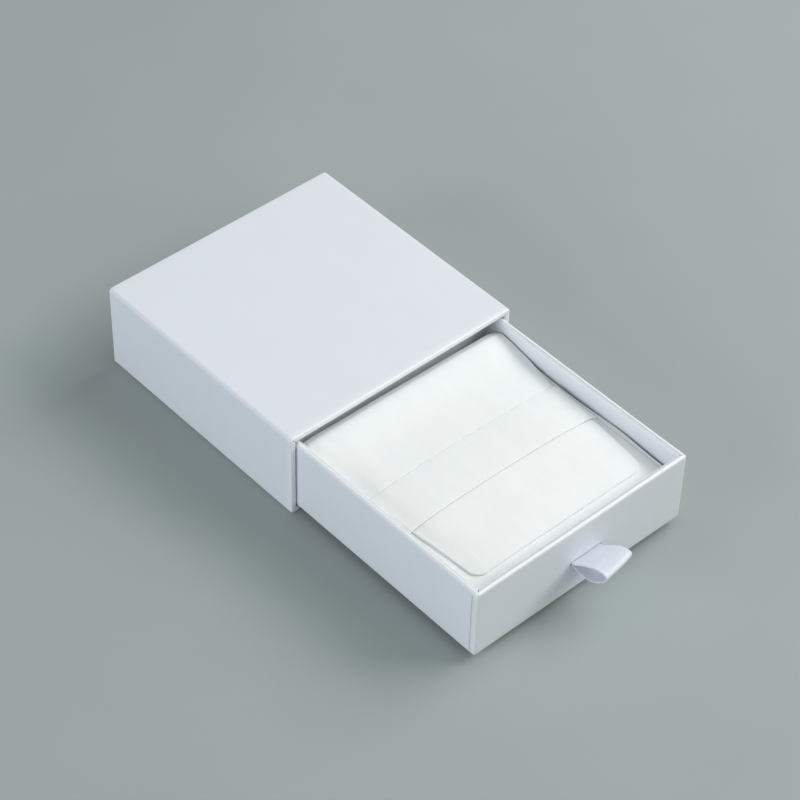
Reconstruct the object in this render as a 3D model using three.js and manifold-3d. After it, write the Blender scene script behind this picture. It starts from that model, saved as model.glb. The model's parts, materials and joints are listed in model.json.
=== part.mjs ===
// A drawer-style gift box for jewelry, made from greyboard, paper, ribbon, foam and microfibre.
//
// An outer sleeve, open at the front and closed at the back, holds a tray that slides out
// towards -Y on a satin pull. The tray carries a foam pad, and a soft envelope pouch lies on it.
// Millimetres, +Z up. The origin is the centre of the sleeve's underside, and the tray is
// modelled drawn out by OPEN_BY.

import * as THREE from 'three';
import { mergeVertices } from 'three/addons/utils/BufferGeometryUtils.js';
import Module from 'manifold-3d';

const wasm = await Module();
wasm.setup();

// ---------------------------------------------------------------- driving dimensions

const BOARD = 1.5; // greyboard
const PAPER = 0.2; // wrapping and lining paper
const GLUE = 0.05; // glue line between any two layers
const TAPE = 0.12; // kraft tape over the board's butt joints
const WALL = PAPER + GLUE + BOARD + GLUE + PAPER;
const TURN_IN = 12; // paper turned over an open edge
const FOLD_RADIUS = 1.3; // outside radius of a scored and folded edge
const SLIT = 0.12; // gap left where two board edges butt

const SLEEVE = { width: 90, depth: 89, height: 32 };
const OPEN_BY = 79; // how far the tray stands out of the sleeve

const SIDE_PLAY = 0.3; // between tray and sleeve, on each side
const FLOOR_PLAY = 0.4; // under the tray
const END_PLAY = 0.4; // behind the tray when it is shut
const TRAY_HEIGHT = 26.6;

const RIBBON = { width: 12, thickness: 0.35, centreX: 1.5, height: 14.85, rootGap: 0.5 };
const PAD = { stack: 14.8, foam: 5, card: 0.6, cover: 0.45, play: 0.2, corner: 1 };
const CLOTH = 0.7; // microfibre
const PLY_PITCH = 0.85; // from one layer of the folded pouch to the next
const POUCH = { halfWidth: 40.2, frontGap: 0.8, foldPlay: 5.1 };
const BAND = { near: 27, far: 45, thickness: 0.6 }; // distances behind the pouch's rear fold
const STITCH = { inset: 2, width: 0.35, height: 0.2, start: 1.5, before: 0.3 };

const ARC_STEPS = 3; // twice this many facets on each quarter turn
const OVER = 1; // how far a cutting solid runs past what it cuts
const OVERLAP = 0.01; // how far two joined or cut solids share
const LAP_GAP = 0.1; // gap between the edges of two papers that meet

const SEAM_TAPE = { leg: 10, halfLength: 38 };
const CORNER_TAPE = { leg: 9, endGap: 2, edgeRadius: 0.5 };
const TAPE_PLAY = 0.04; // round a tape, in the board that it is pressed into
const SLEEVE_EDGE = 0.4; // radius where the paper turns over the sleeve's ends
const SHEET_PLAY = 0.15; // round a sheet that is let in between strips
const SLOT_PLAY = { side: 0.2, up: 0.5 }; // between the pull and its slot
const TAILS = { low: 3.5, high: 18.5, margin: 2, side: 4, play: 0.1 }; // heights above the well's floor
const TRAY_EDGES = { x: 0.9, y: 0.9, z: 0.7 };
const TRAY_PAPER_EDGES = { x: 0.7, y: 0.7, z: 0.5 };
const TRAY_BOARD_EDGES = { x: 0.65, y: 0.65, z: 0.45 };
const RIBBON_STEPS = 44;
const COVER_EDGES = { x: 0.8, y: 0.8, z: 1.5 };
const SQUARED = 4; // height of the cover's foot, where its sides stay upright
const FLAP = { setBack: 5.4, corner: 4, half: 33.9, shoulder: 37.9 };
const FLAP_PLACES = { square: 14, shoulder: 26, side: 45 }; // distances before the rear fold
const FLAP_BOWS = { side: 37.2, corner: 33.3 }; // half widths that the flap's curves are drawn to
const POCKET = { mouth: 16, corner: 2.5 };
const STITCH_LIFT = 0.03; // a stitch above the cloth that it lies on

// ---------------------------------------------------------------- places worked out from them

const sleeveBox = {
  x: [-SLEEVE.width / 2, SLEEVE.width / 2],
  y: [-SLEEVE.depth / 2, SLEEVE.depth / 2],
  z: [0, SLEEVE.height],
};
const mouthY = sleeveBox.y[0];
const trayFrontY = mouthY - OPEN_BY;
const trayBox = {
  x: [sleeveBox.x[0] + WALL + SIDE_PLAY, sleeveBox.x[1] - WALL - SIDE_PLAY],
  y: [trayFrontY, trayFrontY + SLEEVE.depth - WALL - END_PLAY],
  z: [WALL + FLOOR_PLAY, WALL + FLOOR_PLAY + TRAY_HEIGHT],
};
const wellBox = inset(trayBox, WALL, WALL, { bottom: WALL, top: 0 });
const padTop = wellBox.z[0] + PAD.stack + GLUE + PAD.cover + LAP_GAP;
const backPly = padTop + LAP_GAP + CLOTH / 2;
const frontPly = backPly + PLY_PITCH;
const flapPly = frontPly + PLY_PITCH;
const bandPly = flapPly + CLOTH / 2 + 0.15 + BAND.thickness / 2;
const pouchFrontY = wellBox.y[0] + POUCH.frontGap;
const pouchBackY = wellBox.y[1] - POUCH.foldPlay;

// ---------------------------------------------------------------- boxes

/** A box moved in by dx and dy on every side, and by its own amounts at the bottom and top. */
function inset(box, dx, dy, { bottom = dx, top = dx } = {}) {
  return {
    x: [box.x[0] + dx, box.x[1] - dx],
    y: [box.y[0] + dy, box.y[1] - dy],
    z: [box.z[0] + bottom, box.z[1] - top],
  };
}

/** The same box with some of its axes replaced. */
function reach(box, spans) {
  return { ...box, ...spans };
}

// ---------------------------------------------------------------- solids

/** Turns a closed geometry into a solid that can be joined and cut. */
function toSolid(geometry) {
  const bare = geometry.clone();
  bare.deleteAttribute('normal');
  bare.deleteAttribute('uv');
  const merged = mergeVertices(bare, 1e-5);
  return new wasm.Manifold(
    new wasm.Mesh({
      numProp: 3,
      vertProperties: new Float32Array(merged.attributes.position.array),
      triVerts: new Uint32Array(merged.index.array),
    }),
  );
}

/** Turns a solid back into a geometry. */
function toGeometry(solid) {
  const mesh = solid.getMesh();
  const geometry = new THREE.BufferGeometry();
  geometry.setAttribute('position', new THREE.BufferAttribute(mesh.vertProperties, 3));
  geometry.setIndex(new THREE.BufferAttribute(mesh.triVerts, 1));
  geometry.computeVertexNormals();
  return geometry;
}

// How an outline's own axes lie in the model, for an extrusion along each axis.
const BASES = {
  x: [new THREE.Vector3(0, 1, 0), new THREE.Vector3(0, 0, 1), new THREE.Vector3(1, 0, 0)],
  y: [new THREE.Vector3(1, 0, 0), new THREE.Vector3(0, 0, 1), new THREE.Vector3(0, -1, 0)],
  z: [new THREE.Vector3(1, 0, 0), new THREE.Vector3(0, 1, 0), new THREE.Vector3(0, 0, 1)],
};

/** A solid of constant outline along one axis, between two places on it. */
function prism(axis, outline, [from, to]) {
  const geometry = new THREE.ExtrudeGeometry(outline, {
    depth: to - from,
    bevelEnabled: false,
    curveSegments: ARC_STEPS,
  });
  geometry.applyMatrix4(new THREE.Matrix4().makeBasis(...BASES[axis]));
  const start = axis === 'y' ? to : from;
  geometry.translate(axis === 'x' ? start : 0, axis === 'y' ? start : 0, axis === 'z' ? start : 0);
  return toSolid(geometry);
}

/** A rectangle outline with round corners. */
function rectangle([left, right], [low, high], radius = 0) {
  const shape = new THREE.Shape();
  if (radius <= 0) {
    shape.moveTo(left, low).lineTo(right, low).lineTo(right, high).lineTo(left, high);
    return shape;
  }
  shape.moveTo(left + radius, low);
  shape.lineTo(right - radius, low);
  shape.absarc(right - radius, low + radius, radius, -Math.PI / 2, 0);
  shape.lineTo(right, high - radius);
  shape.absarc(right - radius, high - radius, radius, 0, Math.PI / 2);
  shape.lineTo(left + radius, high);
  shape.absarc(left + radius, high - radius, radius, Math.PI / 2, Math.PI);
  shape.lineTo(left, low + radius);
  shape.absarc(left + radius, low + radius, radius, Math.PI, 1.5 * Math.PI);
  return shape;
}

/** A box whose edges along each axis are rounded by that axis's radius. */
function block(box, radius = {}) {
  let solid = prism('z', rectangle(box.x, box.y, radius.z), box.z);
  if (radius.y) solid = solid.intersect(prism('y', rectangle(box.x, box.z, radius.y), box.y));
  if (radius.x) solid = solid.intersect(prism('x', rectangle(box.y, box.z, radius.x), box.x));
  return solid;
}

/** The outline of a strip of even thickness that follows a line of points. */
function stripOutline(points, thickness) {
  const sides = [1, -1].map((side) =>
    points.map((point, i) => {
      const before = points[Math.max(i - 1, 0)];
      const after = points[Math.min(i + 1, points.length - 1)];
      const along = after.clone().sub(before).normalize();
      const out = new THREE.Vector2(-along.y, along.x).multiplyScalar((side * thickness) / 2);
      return point.clone().add(out);
    }),
  );
  return new THREE.Shape([...sides[0], ...sides[1].reverse()]);
}

/** Evenly spaced points on a half circle that turns from one height to the other. */
function turn(centreX, fromY, toY, bulge, steps = 6) {
  const radius = (toY - fromY) / 2;
  const middle = (toY + fromY) / 2;
  return Array.from({ length: steps + 1 }, (_, i) => {
    const angle = (Math.PI * i) / steps;
    return new THREE.Vector2(centreX + bulge * Math.sin(angle), middle - radius * Math.cos(angle));
  });
}

// ---------------------------------------------------------------- finishes

const finishes = {
  greyboard: { color: 0x9a9388, roughness: 0.9 },
  wrap: { color: 0xe9edf4, roughness: 0.45 },
  lining: { color: 0xe6e9f0, roughness: 0.6 },
  kraft: { color: 0xb9986c, roughness: 0.8 },
  satin: { color: 0xe6e8f6, roughness: 0.35 },
  card: { color: 0xe4e2dc, roughness: 0.8 },
  foam: { color: 0xd8d8d4, roughness: 0.95 },
  flock: { color: 0xecece8, roughness: 0.95 },
  microfibre: { color: 0xf1f4f4, roughness: 0.9 },
  thread: { color: 0xf4f6f6, roughness: 0.7 },
};

function piece(name, solid, finish) {
  const material = new THREE.MeshStandardMaterial({ metalness: 0, ...finishes[finish] });
  const mesh = new THREE.Mesh(toGeometry(solid), material);
  mesh.name = name;
  return mesh;
}

// ---------------------------------------------------------------- sleeve

const sleeveBoardBox = inset(sleeveBox, PAPER + GLUE, PAPER + GLUE);
const sleeveBayBox = inset(sleeveBox, WALL, WALL);

/** The L of tape along the sleeve's lower right edge, where the folded blank's ends meet. */
function seamTape(grow = 0) {
  const { leg, halfLength } = SEAM_TAPE;
  const rim = FOLD_RADIUS - PAPER - GLUE;
  const around = reach(sleeveBoardBox, { y: [-halfLength - grow, halfLength + grow] });
  const outer = block(around, { y: rim });
  const inner = block(inset(around, TAPE + grow, -OVER), { y: rim - TAPE - grow });
  const corner = block({
    x: [sleeveBoardBox.x[1] - leg - grow, sleeveBoardBox.x[1] + OVER],
    y: [-halfLength - OVER, halfLength + OVER],
    z: [sleeveBoardBox.z[0] - OVER, sleeveBoardBox.z[0] + leg + grow],
  });
  return outer.subtract(inner).intersect(corner);
}

/** One scored blank folded into a tube, its ends butting at the lower right edge. */
function sleeveBoard() {
  const tube = block(sleeveBoardBox, { y: FOLD_RADIUS - PAPER - GLUE });
  const hollow = block(inset(sleeveBoardBox, BOARD, -OVER, { bottom: BOARD, top: BOARD }));
  const butt = block({
    x: [sleeveBoardBox.x[1] - BOARD - SLIT, sleeveBoardBox.x[1] - BOARD],
    y: [mouthY - OVER, sleeveBox.y[1] + OVER],
    z: [-OVER, sleeveBoardBox.z[0] + BOARD + OVER / 2],
  });
  return tube.subtract(hollow).subtract(butt).subtract(seamTape(TAPE_PLAY));
}

/** The panel glued into the tube's back end. */
function sleeveBackBoard() {
  const inside = inset(sleeveBoardBox, BOARD + GLUE, 0);
  return block(reach(inside, { y: [sleeveBoardBox.y[1] - BOARD, sleeveBoardBox.y[1]] }));
}

/** The lining of the sides, floor, ceiling and back, behind the mouth's turned-in paper. */
function sleeveLiner() {
  const front = mouthY + TURN_IN + LAP_GAP;
  const skin = reach(inset(sleeveBayBox, -PAPER, 0), { y: [front, sleeveBayBox.y[1] + PAPER] });
  const bay = reach(sleeveBayBox, { y: [front - OVER, sleeveBayBox.y[1]] });
  return block(skin).subtract(block(bay));
}

const UNDER_TURN = 14; // wrap turned under the sleeve's sides
const BACK_TURN = 8; // wrap turned over the sleeve's back

const underWindow = {
  x: [sleeveBox.x[0] + UNDER_TURN, sleeveBox.x[1] - UNDER_TURN],
  y: [sleeveBox.y[0] + TURN_IN, sleeveBox.y[1] - TURN_IN],
  z: [0, PAPER],
};
const backWindow = {
  x: [sleeveBox.x[0] + BACK_TURN, sleeveBox.x[1] - BACK_TURN],
  y: [sleeveBox.y[1] - PAPER, sleeveBox.y[1]],
  z: [BACK_TURN, SLEEVE.height - BACK_TURN],
};

/** The outer paper: over the tube, turned in at the mouth, turned under and over the back. */
function sleeveWrap() {
  const skin = block(sleeveBox, { y: FOLD_RADIUS, x: SLEEVE_EDGE, z: SLEEVE_EDGE });
  const filled = block(inset(sleeveBox, PAPER, PAPER), { y: FOLD_RADIUS - PAPER });
  const mouth = block(reach(sleeveBayBox, { y: [mouthY - OVER, mouthY + OVER] }));
  const turned = block(
    reach(inset(sleeveBayBox, -PAPER, 0), { y: [mouthY + LAP_GAP, mouthY + TURN_IN] }),
  );
  const bore = block(reach(sleeveBayBox, { y: [mouthY - OVER, mouthY + TURN_IN + OVER] }));
  const underCut = inset(underWindow, 0, 0, { bottom: -OVER, top: -OVERLAP });
  const backCut = reach(backWindow, { y: [backWindow.y[0] - OVERLAP, backWindow.y[1] + OVER] });
  return skin
    .subtract(filled)
    .subtract(mouth)
    .add(turned.subtract(bore))
    .subtract(block(underCut))
    .subtract(block(backCut));
}

/** The sheet let in between the turned-under strips: the flat face the box stands on. */
function sleeveBaseSheet() {
  return block(inset(underWindow, SHEET_PLAY, SHEET_PLAY, { bottom: 0, top: 0 }));
}

/** The sheet let in between the strips turned over the back. */
function sleeveBackSheet() {
  return block(inset(backWindow, SHEET_PLAY, 0));
}

// ---------------------------------------------------------------- tray

const trayBoardBox = inset(trayBox, PAPER + GLUE, PAPER + GLUE);
const trayBoardWell = reach(inset(trayBoardBox, BOARD, BOARD), {
  z: [trayBoardBox.z[0] + BOARD, trayBox.z[1] + OVER],
});
const ribbonX = [RIBBON.centreX - RIBBON.width / 2, RIBBON.centreX + RIBBON.width / 2];
const slot = {
  x: [ribbonX[0] - SLOT_PLAY.side, ribbonX[1] + SLOT_PLAY.side],
  z: [RIBBON.height - SLOT_PLAY.up, RIBBON.height + SLOT_PLAY.up],
};
const tapeRecess = {
  x: [slot.x[0] - TAILS.side, slot.x[1] + TAILS.side],
  y: [trayBoardWell.y[0] - TAPE - GLUE, trayBoardWell.y[0]],
  z: [wellBox.z[0] + TAILS.low - TAILS.margin, wellBox.z[0] + TAILS.high + TAILS.margin],
};

// Which side of the tray each upright corner is on, along X and along Y.
const CORNERS = new Map([
  ['front_left', [-1, -1]],
  ['front_right', [1, -1]],
  ['back_left', [-1, 1]],
  ['back_right', [1, 1]],
]);

/** The tape folded round one of the tray's upright corners. */
function cornerTape(sideX, sideY, grow = 0) {
  const { leg, endGap, edgeRadius } = CORNER_TAPE;
  const height = [trayBox.z[0] + endGap - grow, trayBox.z[1] - endGap + grow];
  const around = reach(trayBoardBox, { z: height });
  const outer = block(around, { z: edgeRadius });
  const inside = inset(around, TAPE + grow, TAPE + grow, { bottom: -OVER, top: -OVER });
  const inner = block(inside, { z: edgeRadius - TAPE - grow });
  const near = (span, side) =>
    side < 0 ? [span[0] - OVER, span[0] + leg + grow] : [span[1] - leg - grow, span[1] + OVER];
  const corner = block({
    x: near(trayBoardBox.x, sideX),
    y: near(trayBoardBox.y, sideY),
    z: trayBox.z,
  });
  return outer.subtract(inner).intersect(corner);
}

/** The slits where a side wall's edge butts on the front or back wall. */
function cornerSlits() {
  const sides = [-1, 1];
  return sides.flatMap((sideX) =>
    sides.map((sideY) => {
      const wallX = sideX < 0 ? trayBox.x[0] - OVER : trayBoardWell.x[1] - OVERLAP;
      const meetY = sideY < 0 ? trayBoardWell.y[0] : trayBoardWell.y[1] - SLIT;
      return block({
        x: [wallX, wallX + BOARD + PAPER + GLUE + OVER + OVERLAP],
        y: [meetY, meetY + SLIT],
        z: [trayBoardWell.z[0], trayBox.z[1] + OVER],
      });
    }),
  );
}

/** One blank: the floor with four walls folded up, and a slot for the pull in the front one. */
function trayBoard() {
  const tapes = [...CORNERS.values()].map(([sideX, sideY]) => cornerTape(sideX, sideY, TAPE_PLAY));
  const through = block({ ...slot, y: [trayBox.y[0] - OVER, wellBox.y[0] + OVER] });
  const cuts = [block(trayBoardWell), ...cornerSlits(), ...tapes, through];
  return [...cuts, block(tapeRecess), tailsSolid(TAILS.play)].reduce(
    (board, cut) => board.subtract(cut),
    block(trayBoardBox, TRAY_BOARD_EDGES),
  );
}

/** The paper over the tray's outside, turned over the rim and down inside. */
function trayWrap() {
  const skin = block(trayBox, TRAY_EDGES);
  const filled = block(inset(trayBox, PAPER, PAPER), TRAY_PAPER_EDGES);
  const opening = block(reach(wellBox, { z: [trayBox.z[1] - OVER, trayBox.z[1] + OVER] }));
  const lip = inset(wellBox, -PAPER, -PAPER, {
    bottom: TRAY_HEIGHT - WALL - TURN_IN,
    top: LAP_GAP,
  });
  const turned = block(lip).subtract(block(reach(wellBox, { z: [0, trayBox.z[1] + OVER] })));
  const through = block({ ...slot, y: [trayBox.y[0] - OVER, trayBox.y[0] + WALL / 2] });
  return skin.subtract(filled).subtract(opening).add(turned).subtract(through);
}

/** The lining of the tray's floor and lower walls, under the turned-in paper. */
function trayLiner() {
  const top = trayBox.z[1] - TURN_IN - LAP_GAP;
  const skin = reach(inset(wellBox, -PAPER, -PAPER), { z: [wellBox.z[0] - PAPER, top] });
  const well = reach(wellBox, { z: [wellBox.z[0], top + OVER] });
  return block(skin).subtract(block(well));
}

// ---------------------------------------------------------------- ribbon pull

/** The pull's two tails: through the slot together, then glued up and down the front wall. */
function tailsSolid(grow = 0) {
  const back = tapeRecess.y[0];
  const front = back - RIBBON.thickness;
  const spread = block({
    x: [ribbonX[0] - grow, ribbonX[1] + grow],
    y: [front - grow, back],
    z: [wellBox.z[0] + TAILS.low - grow, wellBox.z[0] + TAILS.high + grow],
  });
  const stem = block({
    x: [ribbonX[0] - grow, ribbonX[1] + grow],
    y: [trayBox.y[0] - TAILS.play, back],
    z: [RIBBON.height - RIBBON.thickness - grow, RIBBON.height + RIBBON.thickness + grow],
  });
  return spread.add(stem);
}

/** The patch glued over the tails, under the lining. */
function ribbonTape() {
  const start = tapeRecess.y[0] + GLUE;
  const patch = inset(tapeRecess, TAILS.play, 0);
  return block(reach(patch, { y: [start, start + TAPE - 2 * OVERLAP] }));
}

/** The loop outside the box: up and over from the slot, and back under itself. */
function ribbonLoop() {
  const root = trayBox.y[0] - RIBBON.rootGap;
  const half = RIBBON.thickness / 2 + 0.03;
  const side = [
    [0, half], [1.4, 1.0], [4.4, 3.5], [7.9, 5.9], [10.6, 6.9], [12.6, 7.1],
    [13.6, 6.6], [13.7, 5.7], [12.7, 3.9], [10.8, 1.8], [8.6, 0.2], [6.1, -0.9],
    [3.4, -1.1], [1.4, -0.7], [0, -half],
  ];
  const curve = new THREE.SplineCurve(
    side.map(([out, up]) => new THREE.Vector2(root - out, RIBBON.height + up)),
  );
  const strip = stripOutline(curve.getSpacedPoints(RIBBON_STEPS), RIBBON.thickness);
  return prism('x', strip, ribbonX);
}

// ---------------------------------------------------------------- foam pad

const padBox = inset(wellBox, PAD.play, PAD.play, { bottom: LAP_GAP, top: 0 });
const coverBox = reach(padBox, { z: [padBox.z[0], padTop] });
const coverInset = PAD.cover + GLUE;
const stackBox = inset(coverBox, coverInset, coverInset, { bottom: 0, top: coverInset });

/** The foam that the pouch lies on. */
function foamPad() {
  const slab = reach(stackBox, { z: [stackBox.z[1] - PAD.foam, stackBox.z[1]] });
  return block(slab, { z: PAD.corner });
}

/** The folded card, open below, that lifts the foam towards the rim. */
function insertRiser() {
  const outside = reach(stackBox, { z: [stackBox.z[0], stackBox.z[1] - PAD.foam - GLUE] });
  const inside = inset(outside, PAD.card, PAD.card, { bottom: -OVER, top: PAD.card });
  return block(outside, { z: PAD.corner }).subtract(block(inside, { z: PAD.corner - PAD.card }));
}

/** The flocked cover glued over the foam's top and down the sides. */
function padCover() {
  const shell = block(coverBox, COVER_EDGES);
  const foot = reach(coverBox, { z: [coverBox.z[0], coverBox.z[0] + SQUARED] });
  const squared = block(foot, { z: COVER_EDGES.z });
  const inside = inset(coverBox, PAD.cover, PAD.cover, { bottom: -OVER, top: PAD.cover });
  return shell.add(squared).subtract(block(inside, { z: COVER_EDGES.z - PAD.cover }));
}

// ---------------------------------------------------------------- pouch

/** The pouch from the side: pocket mouth, front panel, front fold, back panel, rear fold, flap. */
function pouchSection() {
  const flapEnd = pouchFrontY + FLAP.setBack;
  const pocketMouth = pouchBackY - POCKET.mouth;
  const bend = pouchFrontY + CLOTH / 2 + (frontPly - backPly) / 2;
  const rear = new THREE.SplineCurve(
    [
      [-POCKET.mouth, 0], [-10, 0.25], [-5, 1.2], [-1.7, 2.2], [-0.35, 3.3],
      [-1.5, 4.35], [-4.5, 4.45], [-9.5, 3.3], [-15, 2.2], [-21, flapPly - backPly],
    ].map(([along, up]) => new THREE.Vector2(pouchBackY + along, backPly + up)),
  );
  const section = [
    new THREE.Vector2(pocketMouth, frontPly),
    ...turn(bend, frontPly, backPly, -(frontPly - backPly) / 2),
    ...rear.getSpacedPoints(26),
    new THREE.Vector2(flapEnd, flapPly),
  ];
  return stripOutline(section, CLOTH);
}

/** The pouch's outline from above: a rectangle at the back that tapers to the flap's round end. */
function flapPlan() {
  const wide = POUCH.halfWidth;
  const end = pouchFrontY + FLAP.setBack - CLOTH;
  const { half, shoulder, corner } = FLAP;
  const square = pouchBackY - FLAP_PLACES.square;
  const taper = pouchBackY - FLAP_PLACES.shoulder;
  const middle = pouchBackY - FLAP_PLACES.side;
  const shape = new THREE.Shape();
  shape.moveTo(wide, pouchBackY + OVER);
  shape.lineTo(-wide, pouchBackY + OVER);
  shape.lineTo(-wide, square);
  shape.lineTo(-shoulder, taper);
  shape.quadraticCurveTo(-FLAP_BOWS.side, middle, -half, end + corner);
  shape.quadraticCurveTo(-FLAP_BOWS.corner, end, corner - half, end);
  shape.lineTo(half - corner, end);
  shape.quadraticCurveTo(FLAP_BOWS.corner, end, half, end + corner);
  shape.quadraticCurveTo(FLAP_BOWS.side, middle, shoulder, taper);
  shape.lineTo(wide, square);
  return shape;
}

/** One strip of cloth folded twice: a pocket below and a flap above. */
function pouchBody() {
  const span = [-POUCH.halfWidth, POUCH.halfWidth];
  const folded = prism('x', pouchSection(), span);
  const split = (frontPly + flapPly) / 2;
  const lower = [backPly - 2 * CLOTH, split];
  const pocket = block(
    { x: span, y: [pouchFrontY - OVER, pouchBackY + 3 * OVER], z: lower },
    { z: POCKET.corner },
  );
  const lid = prism('z', flapPlan(), [split - OVERLAP, split + 8 * OVER]);
  return folded.intersect(pocket.add(lid));
}

/** The strap across the flap, stitched down at the pouch's sides. */
function pouchBand() {
  return block(
    {
      x: [-POUCH.halfWidth, POUCH.halfWidth],
      y: [pouchBackY - BAND.far, pouchBackY - BAND.near],
      z: [bandPly - BAND.thickness / 2, bandPly + BAND.thickness / 2],
    },
    { y: BAND.thickness / 3 },
  );
}

/** One row of stitches: along the front panel and up over the strap's end. */
function pouchStitch(side) {
  const x = side * (POUCH.halfWidth - STITCH.inset);
  const low = frontPly + CLOTH / 2 + STITCH_LIFT;
  const high = bandPly + BAND.thickness / 2 + STITCH_LIFT;
  const top = STITCH.height;
  const first = pouchFrontY + STITCH.start;
  const last = pouchBackY - BAND.near;
  const step = pouchBackY - BAND.far - STITCH.before;
  const riser = step - top;
  const outline = new THREE.Shape(
    [
      [first, low], [step, low], [step, high], [last, high],
      [last, high + top], [riser, high + top], [riser, low + top], [first, low + top],
    ].map(([y, z]) => new THREE.Vector2(y, z)),
  );
  return prism('x', outline, [x - STITCH.width / 2, x + STITCH.width / 2]);
}

// ---------------------------------------------------------------- assembly

const sleeve = new THREE.Group();
sleeve.add(
  piece('sleeve_board', sleeveBoard(), 'greyboard'),
  piece('sleeve_back_board', sleeveBackBoard(), 'greyboard'),
  piece('sleeve_seam_tape', seamTape(), 'kraft'),
  piece('sleeve_liner', sleeveLiner(), 'lining'),
  piece('sleeve_wrap', sleeveWrap(), 'wrap'),
  piece('sleeve_base_sheet', sleeveBaseSheet(), 'wrap'),
  piece('sleeve_back_sheet', sleeveBackSheet(), 'wrap'),
);

const drawer = new THREE.Group();
drawer.add(
  piece('tray_board', trayBoard(), 'greyboard'),
  piece('tray_liner', trayLiner(), 'lining'),
  piece('tray_wrap', trayWrap(), 'wrap'),
  piece('ribbon_tails', tailsSolid(), 'satin'),
  piece('ribbon_tape', ribbonTape(), 'kraft'),
  piece('insert_riser', insertRiser(), 'card'),
  piece('foam_pad', foamPad(), 'foam'),
  piece('pad_cover', padCover(), 'flock'),
);
for (const [place, [sideX, sideY]] of CORNERS) {
  drawer.add(piece(`tray_corner_tape_${place}`, cornerTape(sideX, sideY), 'kraft'));
}

const pull = new THREE.Group();
pull.add(piece('ribbon_loop', ribbonLoop(), 'satin'));

const pouch = new THREE.Group();
pouch.add(
  piece('pouch_body', pouchBody(), 'microfibre'),
  piece('pouch_band', pouchBand(), 'microfibre'),
  piece('pouch_stitch_left', pouchStitch(-1), 'thread'),
  piece('pouch_stitch_right', pouchStitch(1), 'thread'),
);

const box = new THREE.Group();
box.add(sleeve, drawer, pull, pouch);

export default box;
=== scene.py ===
"""Looks for a drawer-style jewelry gift box, built round its fixed CAD frame.

The sleeve and the tray are greyboard wrapped in satin white paper. The tray has a satin ribbon
pull and carries a cushion with a folded microfibre pouch on it. The script works in
millimetres, and meshes are scaled to metres as they are made.
"""

import json
import logging
import math
from collections.abc import Callable, Sequence
from dataclasses import dataclass, field
from enum import Enum

import bmesh
import bpy
import numpy as np
from mathutils import Matrix, Vector, noise


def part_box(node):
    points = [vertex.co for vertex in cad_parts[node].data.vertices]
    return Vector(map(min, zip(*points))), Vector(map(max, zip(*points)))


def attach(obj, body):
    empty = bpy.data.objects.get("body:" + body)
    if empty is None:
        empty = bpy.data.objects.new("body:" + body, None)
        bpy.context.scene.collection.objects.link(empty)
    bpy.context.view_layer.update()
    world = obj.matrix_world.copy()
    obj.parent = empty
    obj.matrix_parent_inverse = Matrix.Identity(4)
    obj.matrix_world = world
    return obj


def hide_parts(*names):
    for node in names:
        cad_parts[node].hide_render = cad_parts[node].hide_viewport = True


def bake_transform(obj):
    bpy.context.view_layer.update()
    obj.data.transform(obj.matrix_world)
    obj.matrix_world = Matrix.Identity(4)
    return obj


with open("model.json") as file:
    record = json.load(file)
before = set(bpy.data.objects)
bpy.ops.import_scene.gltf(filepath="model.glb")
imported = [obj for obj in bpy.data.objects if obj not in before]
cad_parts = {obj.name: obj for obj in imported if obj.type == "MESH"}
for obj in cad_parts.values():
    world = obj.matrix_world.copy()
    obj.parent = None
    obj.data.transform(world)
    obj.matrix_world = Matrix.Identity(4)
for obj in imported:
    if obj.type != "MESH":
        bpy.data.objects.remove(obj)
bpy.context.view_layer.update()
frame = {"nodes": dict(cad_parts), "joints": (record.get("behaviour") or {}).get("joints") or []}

MM = 0.001  # metres in one of this script's units

logging.basicConfig(level=logging.INFO, format="%(name)s: %(message)s")
log = logging.getLogger("gift_box")

Colour = tuple[float, float, float]
Point = tuple[float, float, float]
Socket = bpy.types.NodeSocket
Values = dict[str, object]


# ---------------------------------------------------------------- places and numbers


@dataclass(frozen=True)
class Extent:
    """A box-shaped space, in millimetres."""

    low: np.ndarray
    high: np.ndarray

    @classmethod
    def of_node(cls, node: str) -> "Extent":
        """The space that a CAD node fills at rest."""
        low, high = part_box(node)
        return cls(np.array(low) / MM, np.array(high) / MM)

    @property
    def size(self) -> np.ndarray:
        """Its length along each axis."""
        return self.high - self.low

    @property
    def centre(self) -> np.ndarray:
        """Its middle."""
        return (self.high + self.low) / 2


def smooth_step(values: np.ndarray, start: float, end: float) -> np.ndarray:
    """Runs smoothly from 0 at start to 1 at end.

    Args:
        values: Where to evaluate it.
        start: Where it leaves 0.
        end: Where it reaches 1. It may be less than start.

    Returns:
        One number from 0 to 1 for each value.
    """
    share = np.clip((np.asarray(values, float) - start) / (end - start), 0, 1)
    return share * share * (3 - 2 * share)


def ripple(points: np.ndarray, wavelength: float, seed: float) -> np.ndarray:
    """Smooth, seeded unevenness, from about -1 to 1.

    Args:
        points: Places, one per row, in millimetres.
        wavelength: The size of its swells, in millimetres.
        seed: Moves the pattern, so that two surfaces differ.

    Returns:
        One number for each point.
    """
    shift = Vector((seed * 7.3, seed * 3.1, seed * 5.7))
    return np.array([noise.noise(Vector(point) / wavelength + shift) for point in points])


def arc(centre: tuple[float, float], radius: float, start: float, end: float, steps: int) -> list[tuple]:
    """Points on an arc, both ends included.

    Args:
        centre: The arc's centre.
        radius: Its radius.
        start: Its first angle, in degrees.
        end: Its last angle, in degrees.
        steps: How many chords it is made of.

    Returns:
        The points.
    """
    angles = np.radians(np.linspace(start, end, steps + 1))
    return [(centre[0] + radius * math.cos(a), centre[1] + radius * math.sin(a)) for a in angles]


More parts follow.
